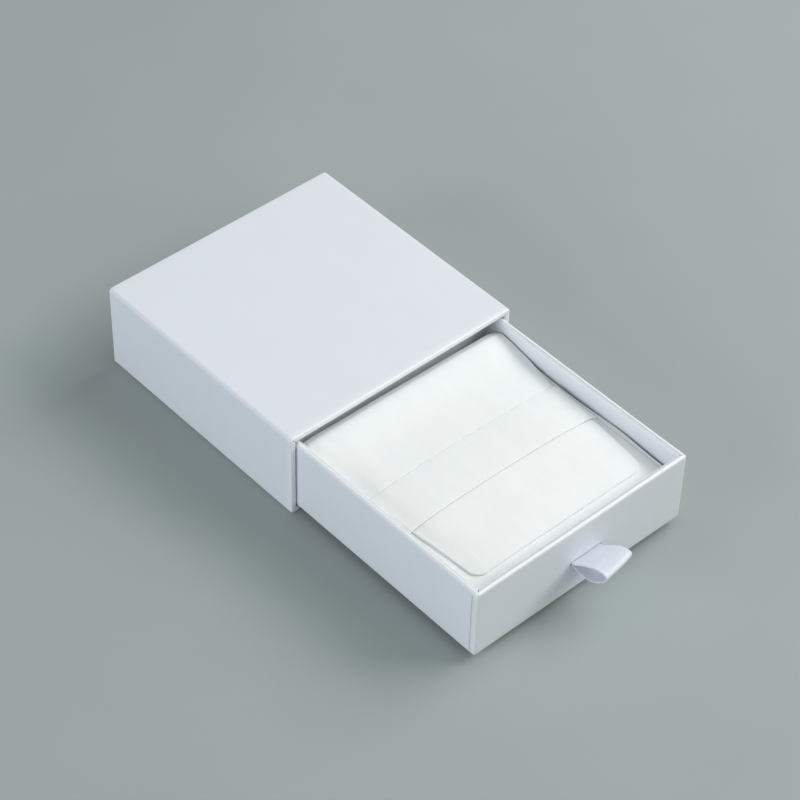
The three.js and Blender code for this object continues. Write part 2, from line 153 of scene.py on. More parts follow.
def run(start: tuple[float, float], end: tuple[float, float], pitch: float) -> list[tuple]:
    """Points inside a straight stretch, both ends left out.

    Args:
        start: Where it starts.
        end: Where it ends.
        pitch: The largest distance between points.

    Returns:
        The points.
    """
    count = max(1, math.ceil(math.dist(start, end) / pitch))
    steps = np.linspace(0, 1, count + 1)[1:-1]
    return [(start[0] + (end[0] - start[0]) * t, start[1] + (end[1] - start[1]) * t) for t in steps]


# ---------------------------------------------------------------- meshes


def make_object(name: str, points: np.ndarray, faces: Sequence, outward: bool = True) -> bpy.types.Object:
    """Makes a smooth-shaded mesh object from points in millimetres.

    Args:
        name: The object's name.
        points: One point per row.
        faces: The corners of each face.
        outward: Whether the mesh is a closed body whose faces are to be turned outwards.

    Returns:
        The object, in the scene.
    """
    mesh = bpy.data.meshes.new(name)
    mesh.from_pydata([tuple(point) for point in np.asarray(points) * MM], [], [tuple(f) for f in faces])
    if outward:
        turn_outward(mesh)
    mesh.shade_smooth()
    made = bpy.data.objects.new(name, mesh)
    bpy.context.scene.collection.objects.link(made)
    return made


def turn_outward(mesh: bpy.types.Mesh) -> None:
    """Turns every face of a closed mesh outwards.

    Args:
        mesh: The mesh.
    """
    editor = bmesh.new()
    editor.from_mesh(mesh)
    bmesh.ops.recalc_face_normals(editor, faces=editor.faces)
    editor.to_mesh(mesh)
    editor.free()


def loft(rings: Sequence[np.ndarray], ring_closed: bool = True, row_closed: bool = False) -> list[tuple]:
    """The faces between rows of points that are numbered one row after another.

    Args:
        rings: Rows of points, all of one length.
        ring_closed: Whether each row's last point joins its first.
        row_closed: Whether the last row joins the first.

    Returns:
        Four-cornered faces.
    """
    rows, count = len(rings), len(rings[0])
    faces = []
    for row in range(rows if row_closed else rows - 1):
        below, above = row * count, ((row + 1) % rows) * count
        for i in range(count if ring_closed else count - 1):
            j = (i + 1) % count
            faces.append((below + i, below + j, above + j, above + i))
    return faces


def make_shell(name: str, rings: Sequence[np.ndarray]) -> bpy.types.Object:
    """Makes a closed body from rings, with a flat cap on the first and on the last.

    Args:
        name: The object's name.
        rings: Rings of points in millimetres, all of one length.

    Returns:
        The object, in the scene.
    """
    points, count = np.vstack(rings), len(rings[0])
    caps = [tuple(range(count)), tuple(range(len(points) - count, len(points)))]
    return make_object(name, points, loft(rings) + caps)


def finish_modifiers(made: bpy.types.Object) -> bpy.types.Object:
    """Applies an object's modifiers, so that a plain mesh is left.

    Args:
        made: The object.

    Returns:
        The same object, with no modifiers.
    """
    graph = bpy.context.evaluated_depsgraph_get()
    shaped = bpy.data.meshes.new_from_object(made.evaluated_get(graph), depsgraph=graph)
    made.modifiers.clear()
    made.data = shaped
    return made


def points_of(mesh: bpy.types.Mesh) -> np.ndarray:
    """A mesh's points, in millimetres.

    Args:
        mesh: The mesh.

    Returns:
        One point per row.
    """
    flat = np.empty(len(mesh.vertices) * 3)
    mesh.vertices.foreach_get("co", flat)
    return flat.reshape(-1, 3) / MM


def move_points(mesh: bpy.types.Mesh, points: np.ndarray) -> None:
    """Puts a mesh's points at these places, in millimetres."""
    mesh.vertices.foreach_set("co", (np.asarray(points) * MM).ravel())
    mesh.update()


def set_weight(mesh: bpy.types.Mesh, name: str, values: np.ndarray) -> None:
    """Stores one number for each of a mesh's points, for materials and recipes to read."""
    layer = mesh.attributes.new(name, "FLOAT", "POINT")
    layer.data.foreach_set("value", np.asarray(values, dtype=np.float32))


@dataclass(frozen=True)
class Frame:
    """A rounded rectangle with the same number of points at any size.

    A side's points crowd towards its ends, where the folds and laps are. Each point knows
    its side: 0 low, 1 right, 2 high, 3 left, and 4 to 7 for the corners after each.
    """

    reach: tuple[float, float]
    marks: tuple[tuple[float, ...], tuple[float, ...]] = ((), ())
    pitch: float = 2.5
    ends: tuple[float, ...] = (0.25, 0.55, 0.8, 0.88, 0.96, 1.2, 1.8, 3)
    corner_steps: int = 8

    def shares(self, axis: int) -> np.ndarray:
        """Where the points of a side along one axis lie, from 0 to 1.

        Args:
            axis: 0 for the low and high sides, 1 for the left and right ones.

        Returns:
            The places, in order.
        """
        length, edge = self.reach[axis], self.ends[-1]
        inner = np.arange(edge + self.pitch, length - edge - self.pitch / 2, self.pitch).tolist()
        spots = {0.0, length, *self.ends, *(length - end for end in self.ends), *inner, *self.marks[axis]}
        return np.array(sorted(spots)) / length

    def points(self, low: Sequence[float], high: Sequence[float], radius: float) -> np.ndarray:
        """The outline's points.

        Args:
            low: The rectangle's low corner.
            high: Its high corner.
            radius: The radius of its corners.

        Returns:
            One point per row, anticlockwise from the low side's start.
        """
        corners = [(low[0], low[1]), (high[0], low[1]), (high[0], high[1]), (low[0], high[1])]
        rows = []
        for side in range(4):
            start, end = np.array(corners[side]), np.array(corners[(side + 1) % 4])
            along = (end - start) / np.linalg.norm(end - start)
            shares = self.shares(side % 2)
            shares = shares if side < 2 else 1 - shares[::-1]
            first, last = start + along * radius, end - along * radius
            rows += [first + (last - first) * share for share in shares]
            inward = np.array([-along[1], along[0]])
            centre = last + inward * radius
            turn = np.radians(np.linspace(-90, 0, self.corner_steps + 1))[1:-1]
            rows += [centre + radius * (along * math.cos(a) + inward * math.sin(a)) for a in turn]
        return np.array(rows)

    def sides(self) -> np.ndarray:
        """Each point's side, or 4 more than it for the corner that follows that side.

        Returns:
            One number from 0 to 7 for each point.
        """
        tags = []
        for side in range(4):
            tags += [side] * len(self.shares(side % 2)) + [side + 4] * (self.corner_steps - 1)
        return np.array(tags)


# ---------------------------------------------------------------- node trees


class Tree:
    """A node tree being written."""

    def __init__(self, tree: bpy.types.NodeTree) -> None:
        """Starts on an empty tree."""
        self.tree = tree
        self.tree.nodes.clear()

    def node(self, kind: str, inputs: Values | None = None, **settings: object) -> bpy.types.Node:
        """Adds a node.

        Args:
            kind: The node's type.
            inputs: A value or another node's output for each input, by name or number.
            settings: The node's own options.

        Returns:
            The node.
        """
        made = self.tree.nodes.new(kind)
        for name, value in settings.items():
            setattr(made, name, value)
        for name, value in (inputs or {}).items():
            socket = made.inputs[name]
            if isinstance(value, bpy.types.NodeSocket):
                self.tree.links.new(value, socket)
            else:
                socket.default_value = value
        return made

    def math(self, operation: str, *operands: object) -> Socket:
        """The result of a calculation on one to three numbers."""
        return self.node("ShaderNodeMath", dict(enumerate(operands)), operation=operation).outputs[0]


class Surface(Tree):
    """A material's node tree, with the steps that several finishes share."""

    def __init__(self, name: str) -> None:
        """Makes the material, with its output and nothing else.

        Args:
            name: The material's name.
        """
        self.material = bpy.data.materials.new(name)
        self.material.use_nodes = True
        super().__init__(self.material.node_tree)
        self.output = self.node("ShaderNodeOutputMaterial")
        self.place = self.node("ShaderNodeTexCoord").outputs["Object"]

    def stretched(self, scale: Point, source: Socket | None = None) -> Socket:
        """The surface's coordinates, scaled along each axis."""
        inputs = {"Vector": source or self.place, "Scale": scale}
        return self.node("ShaderNodeMapping", inputs).outputs[0]

    def noise(
        self, size: float, detail: float = 2.0, rough: float = 0.5, source: Socket | None = None,
    ) -> Socket:
        """Cloudy noise from 0 to 1.

        Args:
            size: The size of its features, in millimetres.
            detail: How many finer layers it has.
            rough: How strong those are.
            source: Coordinates in metres, where they aren't the surface's own.

        Returns:
            The noise.
        """
        inputs = {"Vector": source or self.place, "Scale": 1 / (size * MM)}
        inputs |= {"Detail": detail, "Roughness": rough}
        return self.node("ShaderNodeTexNoise", inputs).outputs["Fac"]

    def between(self, share: object, first: Colour, second: Colour) -> Socket:
        """A colour between two, by a share from 0 to 1."""
        inputs = {0: share, 6: (*first, 1), 7: (*second, 1)}
        return self.node("ShaderNodeMix", inputs, data_type="RGBA").outputs[2]

    def over(self, share: object, below: Socket, colour: Colour) -> Socket:
        """A colour laid over another, by a share from 0 to 1."""
        inputs = {0: share, 6: below, 7: (*colour, 1)}
        return self.node("ShaderNodeMix", inputs, data_type="RGBA").outputs[2]

    def spread(self, value: Socket, low: float, high: float, start: float = 0.0, end: float = 1.0) -> Socket:
        """A number moved from one range to another, and held inside it."""
        inputs = {"Value": value, "From Min": low, "From Max": high, "To Min": start, "To Max": end}
        return self.node("ShaderNodeMapRange", inputs).outputs[0]

    def bump(self, height: Socket, depth: float, below: Socket | None = None) -> Socket:
        """A surface normal tilted by a height.

        Args:
            height: The height, from 0 to 1.
            depth: How deep 1 is, in millimetres.
            below: A coarser bump that this one lies on.

        Returns:
            The normal.
        """
        inputs: Values = {"Height": height, "Distance": depth * MM}
        if below is not None:
            inputs["Normal"] = below
        return self.node("ShaderNodeBump", inputs).outputs[0]

    def weight(self, name: str) -> Socket:
        """A number stored on the mesh's points."""
        return self.node("ShaderNodeAttribute", attribute_name=name).outputs["Fac"]

    def close(self, inputs: Values) -> bpy.types.Material:
        """Joins a principled shader to the output.

        Args:
            inputs: The shader's inputs, by name.

        Returns:
            The finished material.
        """
        shader = self.node("ShaderNodeBsdfPrincipled", inputs)
        self.tree.links.new(shader.outputs[0], self.output.inputs["Surface"])
        return self.material


class Recipe(Tree):
    """A Geometry Nodes tree with named inputs."""

    def __init__(self, name: str, inputs: dict[str, str]) -> None:
        """Makes the tree with a geometry input and output, and its own named inputs.

        Args:
            name: The tree's name.
            inputs: The socket type of each named input.
        """
        tree = bpy.data.node_groups.new(name, "GeometryNodeTree")
        super().__init__(tree)
        tree.interface.new_socket("Geometry", in_out="OUTPUT", socket_type="NodeSocketGeometry")
        tree.interface.new_socket("Geometry", in_out="INPUT", socket_type="NodeSocketGeometry")
        self.keys = {}
        for label, kind in inputs.items():
            socket = tree.interface.new_socket(label, in_out="INPUT", socket_type=kind)
            self.keys[label] = socket.identifier
        self.given = self.node("NodeGroupInput").outputs

    def close(self, geometry: Socket, material: bpy.types.Material) -> None:
        """Makes the result real, gives it its material and joins it to the output.

        Args:
            geometry: The result.
            material: Its material.
        """
        real = self.node("GeometryNodeRealizeInstances", {0: geometry}).outputs[0]
        painted = self.node("GeometryNodeSetMaterial", {"Geometry": real, "Material": material}).outputs[0]
        self.node("NodeGroupOutput", {0: painted})

    def grow(self, base: bpy.types.Object, name: str, values: dict[str, object]) -> bpy.types.Object:
        """Runs the recipe on an object and keeps the result as a plain mesh.

        Args:
            base: The object that it starts from. It isn't changed.
            name: The result's name.
            values: A value for each named input.

        Returns:
            A new object with the resulting mesh and no modifiers.
        """
        made = bpy.data.objects.new(name, base.data.copy())
        bpy.context.scene.collection.objects.link(made)
        modifier = made.modifiers.new(name, "NODES")
        modifier.node_group = self.tree
        for label, value in values.items():
            modifier[self.keys[label]] = value
        finish_modifiers(made)
        made.data.name = name
        made.data.shade_smooth()
        return made


# ---------------------------------------------------------------- finishes


class Slot(Enum):
    """The record's material slots."""

    GREYBOARD = "greyboard"
    WRAP = "white_wrap"
    LINING = "white_lining"
    KRAFT = "kraft_tape"
    CARD = "insert_card"
    SATIN = "satin_ribbon"
    FOAM = "foam"
    FLOCK = "flock_cover"
    MICROFIBRE = "microfibre"
    THREAD = "sewing_thread"


@dataclass(frozen=True)
class Paper:
    """Coated paper glued over board: fine fibres, faint clouding, and folds rubbed pale."""

    name: str
    tint: Colour = (0.80, 0.835, 0.885)
    cloud: Colour = (0.785, 0.82, 0.872)
    rubbed: Colour = (0.90, 0.91, 0.92)
    # Painted shade: the dark line along the tray paper's joints and the rim's score, partly the paper edge's
    # own line and partly the shade in its groove.
    joint_shade: Colour = (0.42, 0.45, 0.50)
    roughness: float = 0.4
    coat: float = 0.25
    fibre: float = 0.16
    fibre_depth: float = 0.006
    swell: float = 9.0
    swell_depth: float = 0.03

    def material(self) -> bpy.types.Material:
        """Builds the finish.

        Returns:
            The material.
        """
        sheet = Surface(self.name)
        clouds = sheet.noise(14, detail=3, rough=0.6)
        fibres = sheet.noise(self.fibre, detail=4, rough=0.65)
        colour = sheet.between(sheet.spread(clouds, 0.3, 0.7), self.tint, self.cloud)
        grain = sheet.spread(fibres, 0.35, 0.75, 0, 0.22)
        colour = sheet.over(grain, colour, self.cloud)
        wear = sheet.spread(sheet.noise(1.1, 3), 0.3, 0.7, 0.45, 1)
        rub = sheet.math("MULTIPLY", sheet.weight("fold"), wear)
        colour = sheet.over(rub, colour, self.rubbed)
        # Painted shade: darkens the paper along the tray's paper joints and the rim's score line.
        colour = sheet.over(sheet.math("MULTIPLY", sheet.weight("joint_shade"), 0.75), colour, self.joint_shade)
        dull, shiny = self.roughness + 0.05, self.roughness - 0.04
        gloss = sheet.spread(sheet.noise(3.5, detail=4), 0.25, 0.75, shiny, dull)
        normal = sheet.bump(sheet.noise(self.swell, detail=2), self.swell_depth)
        normal = sheet.bump(fibres, self.fibre_depth, normal)
        return sheet.close({
            "Base Color": colour, "Roughness": sheet.math("MULTIPLY_ADD", rub, 0.15, gloss),
            "Normal": normal, "IOR": 1.5, "Coat Weight": self.coat, "Coat Roughness": 0.22,
        })


@dataclass(frozen=True)
class Greyboard:
    """Solid recycled board: grey-brown pulp with dark and pale flecks."""

    name: str = "greyboard"
    pulp: Colour = (0.36, 0.335, 0.30)
    pale: Colour = (0.50, 0.475, 0.43)
    fleck: Colour = (0.16, 0.15, 0.14)

    def material(self) -> bpy.types.Material:
        """Builds the finish.

        Returns:
            The material.
        """
        board = Surface(self.name)
        fibres = board.noise(0.35, 5, 0.7, board.stretched((1, 0.35, 1)))
        flecks = board.noise(0.6, 2, 0.5)
        colour = board.between(board.spread(fibres, 0.35, 0.65), self.pulp, self.pale)
        colour = board.over(board.spread(flecks, 0.66, 0.72, 0, 0.8), colour, self.fleck)
        return board.close({
            "Base Color": colour, "Roughness": board.spread(fibres, 0.2, 0.8, 0.82, 0.95),
            "Normal": board.bump(fibres, 0.04),
        })


@dataclass(frozen=True)
class Kraft:
    """Brown gummed tape with fibres along it."""

    name: str = "kraft_tape"
    brown: Colour = (0.50, 0.34, 0.19)
    pale: Colour = (0.62, 0.45, 0.27)

    def material(self) -> bpy.types.Material:
        """Builds the finish.

        Returns:
            The material.
        """
        tape = Surface(self.name)
        fibres = tape.noise(0.3, 4, 0.65, tape.stretched((1, 1, 0.2)))
        streaks = tape.noise(1.6, 3, 0.5, tape.stretched((1, 1, 0.15)))
        colour = tape.between(tape.spread(fibres, 0.35, 0.65), self.brown, self.pale)
        colour = tape.over(tape.spread(streaks, 0.5, 0.8, 0, 0.4), colour, self.brown)
        return tape.close({
            "Base Color": colour, "Roughness": tape.spread(streaks, 0.2, 0.8, 0.55, 0.75),
            "Normal": tape.bump(fibres, 0.015),
        })


@dataclass(frozen=True)
class Card:
    """Uncoated folding card."""

    name: str = "insert_card"
    tint: Colour = (0.74, 0.73, 0.69)
    fibre: Colour = (0.66, 0.65, 0.61)

    def material(self) -> bpy.types.Material:
        """Builds the finish.

        Returns:
            The material.
        """
        card = Surface(self.name)
        fibres = card.noise(0.22, 5, 0.7)
        return card.close({
            "Base Color": card.between(card.spread(fibres, 0.3, 0.7), self.tint, self.fibre),
            "Roughness": card.spread(fibres, 0.2, 0.8, 0.75, 0.9), "Normal": card.bump(fibres, 0.02),
        })


@dataclass(frozen=True)
class Satin:
    """Woven satin: bright floats along the ribbon, fine weft ribs, corded selvedges."""

    name: str = "satin_ribbon"
    tint: Colour = (0.83, 0.86, 0.95)
    shade: Colour = (0.74, 0.77, 0.88)
    rib_pitch: float = 0.22
    float_pitch: float = 0.11

    def material(self) -> bpy.types.Material:
        """Builds the finish. The mesh's UV map holds millimetres along and across the ribbon.

        Returns:
            The material.
        """
        cloth = Surface(self.name)
        lie = cloth.node("ShaderNodeUVMap", uv_map="UVMap").outputs[0]
        parts = cloth.node("ShaderNodeSeparateXYZ", {0: lie}).outputs
        ribs = cloth.math("SINE", cloth.math("MULTIPLY", parts[0], math.tau / self.rib_pitch))
        floats = cloth.math("SINE", cloth.math("MULTIPLY", parts[1], math.tau / self.float_pitch))
        slub = cloth.node("ShaderNodeTexNoise", {
            "Vector": cloth.stretched((0.35, 3.5, 1), lie), "Scale": 1.0, "Detail": 3.0}).outputs["Fac"]
        weave = cloth.math("MULTIPLY_ADD", ribs, 0.25, cloth.math("MULTIPLY", floats, 0.25))
        height = cloth.math("ADD", weave, cloth.math("MULTIPLY", slub, 0.8))
        share = cloth.spread(slub, 0.3, 0.75)
        colour = cloth.between(share, self.tint, self.shade)
        return cloth.close({
            "Base Color": colour, "Roughness": cloth.spread(slub, 0.2, 0.8, 0.3, 0.42),
            "Normal": cloth.bump(height, 0.012), "Anisotropic": 0.55, "Sheen Weight": 0.25,
            "Sheen Roughness": 0.35, "Specular IOR Level": 0.6, "Subsurface Weight": 0.25,
            "Subsurface Radius": (0.0012, 0.0012, 0.0012), "Subsurface Scale": 1.0,
        })


@dataclass(frozen=True)
class Microfibre:
    """Brushed microfibre: a short matt nap that lies in soft patches, with a pale bloom."""

    name: str = "microfibre"
    tint: Colour = (0.895, 0.923, 0.912)
    laid: Colour = (0.878, 0.903, 0.893)
    pit: Colour = (0.76, 0.79, 0.79)
    # Painted shade: the grey laid into the cloth's dips along the strap's edges and the seams.
    crease: Colour = (0.40, 0.42, 0.42)
    crease_shade_share: float = 0.85
    nap: float = 0.28
    nap_depth: float = 0.05
    patch: float = 7.0

    def material(self) -> bpy.types.Material:
        """Builds the finish.

        Returns:
            The material.
        """
        cloth = Surface(self.name)
        fibres = cloth.noise(self.nap, 4, 0.7)
        tufts = cloth.node("ShaderNodeTexVoronoi", {
            "Vector": cloth.place, "Scale": 1 / (self.nap * 1.6 * MM), "Randomness": 1.0}).outputs["Distance"]
        patches = cloth.noise(self.patch, 3, 0.55, cloth.stretched((1.0, 0.45, 1.0)))
        colour = cloth.between(cloth.spread(patches, 0.35, 0.65), self.tint, self.laid)
        colour = cloth.over(cloth.spread(fibres, 0.55, 0.8, 0, 0.35), colour, self.pit)
        # Painted shade in the creases, broken into dots by noise.
        crease_shade_dots = cloth.spread(cloth.noise(0.9, 2), 0.35, 0.62, 0.45, 1.0)
        shade = cloth.math("MULTIPLY", cloth.weight("crease"), crease_shade_dots)
        colour = cloth.over(cloth.math("MULTIPLY", shade, self.crease_shade_share), colour, self.crease)
        pile = cloth.math("MULTIPLY_ADD", fibres, 0.7, cloth.math("MULTIPLY", tufts, 0.35))
        normal = cloth.bump(patches, 0.25)
        normal = cloth.bump(pile, self.nap_depth, normal)
        return cloth.close({
            "Base Color": colour, "Roughness": cloth.spread(patches, 0.2, 0.8, 0.88, 0.98),
            "Normal": normal, "Sheen Weight": 0.35, "Sheen Roughness": 0.45,
            "Specular IOR Level": 0.25, "Subsurface Weight": 0.1,
            "Subsurface Radius": (0.0008, 0.0008, 0.0008), "Subsurface Scale": 1.0,
        })


@dataclass(frozen=True)
class Flock:
    """A flocked cover: dense upright fibres."""

    name: str = "flock_cover"
    tint: Colour = (0.84, 0.86, 0.87)
    root: Colour = (0.66, 0.68, 0.70)

    def material(self) -> bpy.types.Material:
        """Builds the finish.

        Returns:
            The material.
        """
        pile = Surface(self.name)
        fibres = pile.noise(0.16, 5, 0.75)
        return pile.close({
            "Base Color": pile.between(pile.spread(fibres, 0.4, 0.75), self.tint, self.root),
            "Roughness": pile.spread(fibres, 0.2, 0.8, 0.9, 1.0), "Normal": pile.bump(fibres, 0.07),
            "Sheen Weight": 0.5, "Sheen Roughness": 0.4,
        })


@dataclass(frozen=True)
class Foam:
    """Soft polyurethane foam with open cells."""

    name: str = "foam"
    tint: Colour = (0.74, 0.74, 0.71)
    # Painted shade: the darker colour deep in each open cell.
    cell_shade: Colour = (0.42, 0.42, 0.40)

    def material(self) -> bpy.types.Material:
        """Builds the finish.

        Returns:
            The material.
        """
        foam = Surface(self.name)
        cells = foam.node("ShaderNodeTexVoronoi", {
            "Vector": foam.place, "Scale": 1 / (0.6 * MM)}, feature="DISTANCE_TO_EDGE").outputs["Distance"]
        # Painted shade: the colour darkens with depth into each open cell, where the bump sinks.
        depth = foam.spread(cells, 0.0, 0.28)
        return foam.close({
            "Base Color": foam.between(depth, self.tint, self.cell_shade),
            "Roughness": foam.spread(foam.noise(2, 3), 0.2, 0.8, 0.9, 1.0),
            "Normal": foam.bump(foam.math("SUBTRACT", 1.0, depth), 0.2),
        })


@dataclass(frozen=True)
class Thread:
    """Polyester sewing thread: plies that twist along the stitch."""

    name: str = "sewing_thread"
    tint: Colour = (0.88, 0.90, 0.91)
    shade: Colour = (0.68, 0.70, 0.72)

    def material(self) -> bpy.types.Material:
        """Builds the finish.

        Returns:
            The material.
        """
        yarn = Surface(self.name)
        plies = yarn.node("ShaderNodeTexWave", {
            "Vector": yarn.place, "Scale": 1 / (0.9 * MM), "Distortion": 1.5}, bands_direction="DIAGONAL")
        twist = plies.outputs["Fac"]
        return yarn.close({
            "Base Color": yarn.between(twist, self.shade, self.tint),
            "Roughness": yarn.spread(twist, 0, 1, 0.6, 0.45), "Normal": yarn.bump(twist, 0.03),
            "Sheen Weight": 0.3, "Sheen Roughness": 0.4,
        })


@dataclass(frozen=True)
class Backdrop:
    """A matt grey-green studio sheet with a trace of mottling."""

    name: str = "backdrop"
    tint: Colour = (0.364, 0.411, 0.404)
    shade: Colour = (0.353, 0.399, 0.392)

    def material(self) -> bpy.types.Material:
        """Builds the finish.

        Returns:
            The material.
        """
        sheet = Surface(self.name)
        clouds = sheet.noise(60, 3, 0.5)
        grain = sheet.noise(0.5, 3, 0.6)
        return sheet.close({
            "Base Color": sheet.between(sheet.spread(clouds, 0.3, 0.7), self.tint, self.shade),
            "Roughness": sheet.spread(grain, 0.2, 0.8, 0.75, 0.85), "Normal": sheet.bump(grain, 0.01),
            "Specular IOR Level": 0.25,
        })


@dataclass
class Finishes:
    """Every material of the box, one for each slot."""

    made: dict[Slot, bpy.types.Material] = field(default_factory=dict)

    def __post_init__(self) -> None:
        """Builds them all."""
        self.made = {
            Slot.GREYBOARD: Greyboard().material(),
            Slot.WRAP: Paper("white_wrap").material(),
            Slot.LINING: Paper("white_lining", roughness=0.6, coat=0.0, fibre_depth=0.012).material(),
            Slot.KRAFT: Kraft().material(),
            Slot.CARD: Card().material(),
            Slot.SATIN: Satin().material(),
            Slot.FOAM: Foam().material(),
            Slot.FLOCK: Flock().material(),
            Slot.MICROFIBRE: Microfibre().material(),
            Slot.THREAD: Thread().material(),
        }

    def __getitem__(self, slot: Slot) -> bpy.types.Material:
        """The material for a slot."""
        return self.made[slot]


# ---------------------------------------------------------------- what every sub-assembly does


@dataclass
class SubAssembly:
    """A group of pieces that move together on one CAD body."""

    finishes: Finishes
    body: str = ""

    def keep(self, slot: Slot, *nodes: str) -> None:
        """Leaves CAD nodes showing, with a better material.

        Args:
            slot: The finish that they get.
            nodes: Their names.
        """
        for node in nodes:
            part = frame["nodes"][node]
            for holder in part.material_slots:
                holder.material = self.finishes[slot]
            log.info("%s keeps its CAD shape, in %s", node, slot.value)

    def place(self, piece: bpy.types.Object, slot: Slot, *stands_for: str) -> bpy.types.Object:
        """Finishes a piece: its material, its body and the CAD nodes that it stands for.

        Args:
            piece: The piece.
            slot: Its finish.
            stands_for: The CAD nodes that it replaces.

        Returns:
            The piece.
        """
        piece.data.materials.clear()
        piece.data.materials.append(self.finishes[slot])
        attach(piece, self.body)
        self.label(piece, slot, *stands_for)
        return piece

    def label(self, piece: bpy.types.Object, slot: Slot, *stands_for: str) -> None:
        """Hides the CAD nodes that a piece stands for, and reports the piece and its slot.

        Args:
            piece: The piece.
            slot: Its finish.
            stands_for: The CAD nodes that it replaces.
        """
        if stands_for:
            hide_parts(*stands_for)
        log.info("%s: %d faces, in %s", piece.name, len(piece.data.polygons), slot.value)


# ---------------------------------------------------------------- sleeve


@dataclass
class Sleeve(SubAssembly):
    """The outer sleeve: a board tube, closed at the back, wrapped in paper."""

    body: str = "sleeve"
    paper: float = 0.2
    wall: float = 2.0
    fold_radius: float = 1.3
    rim_radius: float = 0.65
    inner_radius: float = 0.5
    turn_in: float = 12.0
    back_turn: float = 8.0
    sheet_play: float = 0.1
    bow: float = 0.13
    uneven: float = 0.035
    swell: float = 16.0
    rim_wave: float = 0.05
    rim_swell: float = 3.2
    crease: float = 0.12
    notch: float = 0.45
    rubbed: tuple[float, float] = (0.9, 0.55)

    def build(self) -> None:
        """Makes the wrap and dresses the rest."""
        self.space = Extent.of_node("sleeve_wrap")
        self.place(self.wrap(), Slot.WRAP, "sleeve_wrap")
        self.keep(Slot.GREYBOARD, "sleeve_board", "sleeve_back_board")
        self.keep(Slot.KRAFT, "sleeve_seam_tape")
        self.keep(Slot.LINING, "sleeve_liner")
        self.keep(Slot.WRAP, "sleeve_base_sheet", "sleeve_back_sheet")

    def profile(self) -> list[tuple[float, float]]:
        """The paper's way round the board, as its distance in from the outside and its y.

        Returns:
            A closed line: over the back, along the outside, round the mouth's rim, in, and back
            again along the paper's glued side.
        """
        front, back = self.space.low[1], self.space.high[1]
        rim, inner, paper, wall = self.rim_radius, self.inner_radius, self.paper, self.wall
        end = front + self.turn_in
        outside = [
            (self.back_turn, back), *run((self.back_turn, back), (rim, back), 0.9),
            *arc((rim, back - rim), rim, 90, 180, 6),
            *run((0, back - rim), (0, front + rim), 2.2),
            *arc((rim, front + rim), rim, 180, 270, 7),
            *run((rim, front), (wall - inner, front), 0.25),
            *arc((wall - inner, front + inner), inner, 270, 360, 6),
            *run((wall, front + inner), (wall, end), 1.2), (wall, end),
        ]
        glued = [
            (wall - paper, end), (wall - paper, front + 1), (wall - paper - 0.2, front + 0.4),
            (rim, front + 0.3), (paper, front + 0.8), *run((paper, front + 0.8), (paper, back - 0.8), 4),
            (paper, back - 0.8), (rim, back - paper), (self.back_turn, back - paper),
        ]
        return outside + glued

    def wrap(self) -> bpy.types.Object:
        """Makes the wrapping paper: soft folds, a rubbed rim, notches where it is slit to turn in.

        Returns:
            The paper.
        """
        space, under = self.space, Extent.of_node("sleeve_base_sheet")
        window = under.high[0] + self.sheet_play
        half = space.high[0]
        flat_half = half - self.fold_radius
        steps = (window - self.sheet_play / 2, window + self.sheet_play / 2)
        marks = tuple(flat_half + side * step for side in (-1, 1) for step in steps)
        outline = Frame((2 * flat_half, space.high[2] - 2 * self.fold_radius), (marks, ()))
        sides = outline.sides()
        rings, folds = [], []
        for inset, y in self.profile():
            radius = max(self.fold_radius - inset, 0.22)
            flat = outline.points((inset - half, inset), (half - inset, space.high[2] - inset), radius)
            ring = np.column_stack([flat[:, 0], np.full(len(flat), y), flat[:, 1]])
            rings.append(self.worked(ring, sides, inset, y))
            near_rim = smooth_step(np.full(len(flat), y), space.low[1] + 1.1, space.low[1] + 0.3)
            folds.append(np.maximum(near_rim * self.rubbed[0], np.where(sides > 3, self.rubbed[1], 0.0)))
        made = make_object("sleeve_paper", np.vstack(rings), loft(rings, row_closed=True))
        set_weight(made.data, "fold", np.concatenate(folds))
        self.let_in_base(made.data, under)
        return made

    def worked(self, ring: np.ndarray, sides: np.ndarray, inset: float, y: float) -> np.ndarray:
        """Bows the panels a little, and creases the paper where it is folded at the corners.

        Args:
            ring: The ring's points.
            sides: Each point's side.
            inset: The ring's distance in from the outside.
            y: Its place along the sleeve.

        Returns:
            The moved points.
        """
        space = self.space
        along = np.clip(1 - (2 * (y - space.centre[1]) / space.size[1]) ** 2, 0, 1)
        width = np.clip(1 - (ring[:, 0] / space.high[0]) ** 2, 0, 1)
        height = np.clip(1 - (2 * (ring[:, 2] - space.centre[2]) / space.size[2]) ** 2, 0, 1)
        give = 1 if inset <= self.paper else 0.35
        uneven = self.uneven * ripple(ring, self.swell, 1) * give
        moved = ring.copy()
        top, right, left = sides == 2, sides == 1, sides == 3
        moved[top, 2] -= (self.bow * width * (0.35 + 0.65 * along) + uneven)[top] * give * width[top] ** 0.3
        moved[right, 0] -= (0.5 * self.bow * height * along + uneven * height)[right] * give
        moved[left, 0] += (0.5 * self.bow * height * along + uneven * height)[left] * give
        at_rim = smooth_step(np.array([inset]), 0.1, 0.5)[0] * (y < space.low[1] + 1.2)
        moved[:, 1] += at_rim * self.rim_wave * ripple(ring, self.rim_swell, 2)
        corner = sides > 3
        if inset > 0.6 and y > space.centre[1]:
            moved[corner, 1] -= self.crease
        if self.rim_radius < inset and y < space.low[1] + 0.6:
            moved[corner, 1] += self.notch
        return moved

    def let_in_base(self, mesh: bpy.types.Mesh, under: Extent) -> None:
        """Sinks the underside where the base sheet is let in.

        Args:
            mesh: The paper's mesh.
            under: The base sheet's space.
        """
        points = points_of(mesh)
        inside = (np.abs(points[:, :2]) < under.high[:2] + self.sheet_play).all(axis=1)
        outer = inside & (points[:, 2] < self.paper / 2)
        glued = inside & ~outer & (points[:, 2] < self.wall / 2)
        points[outer, 2] = self.paper + 0.005
        points[glued, 2] = self.paper + 0.04
        move_points(mesh, points)


# ---------------------------------------------------------------- tray


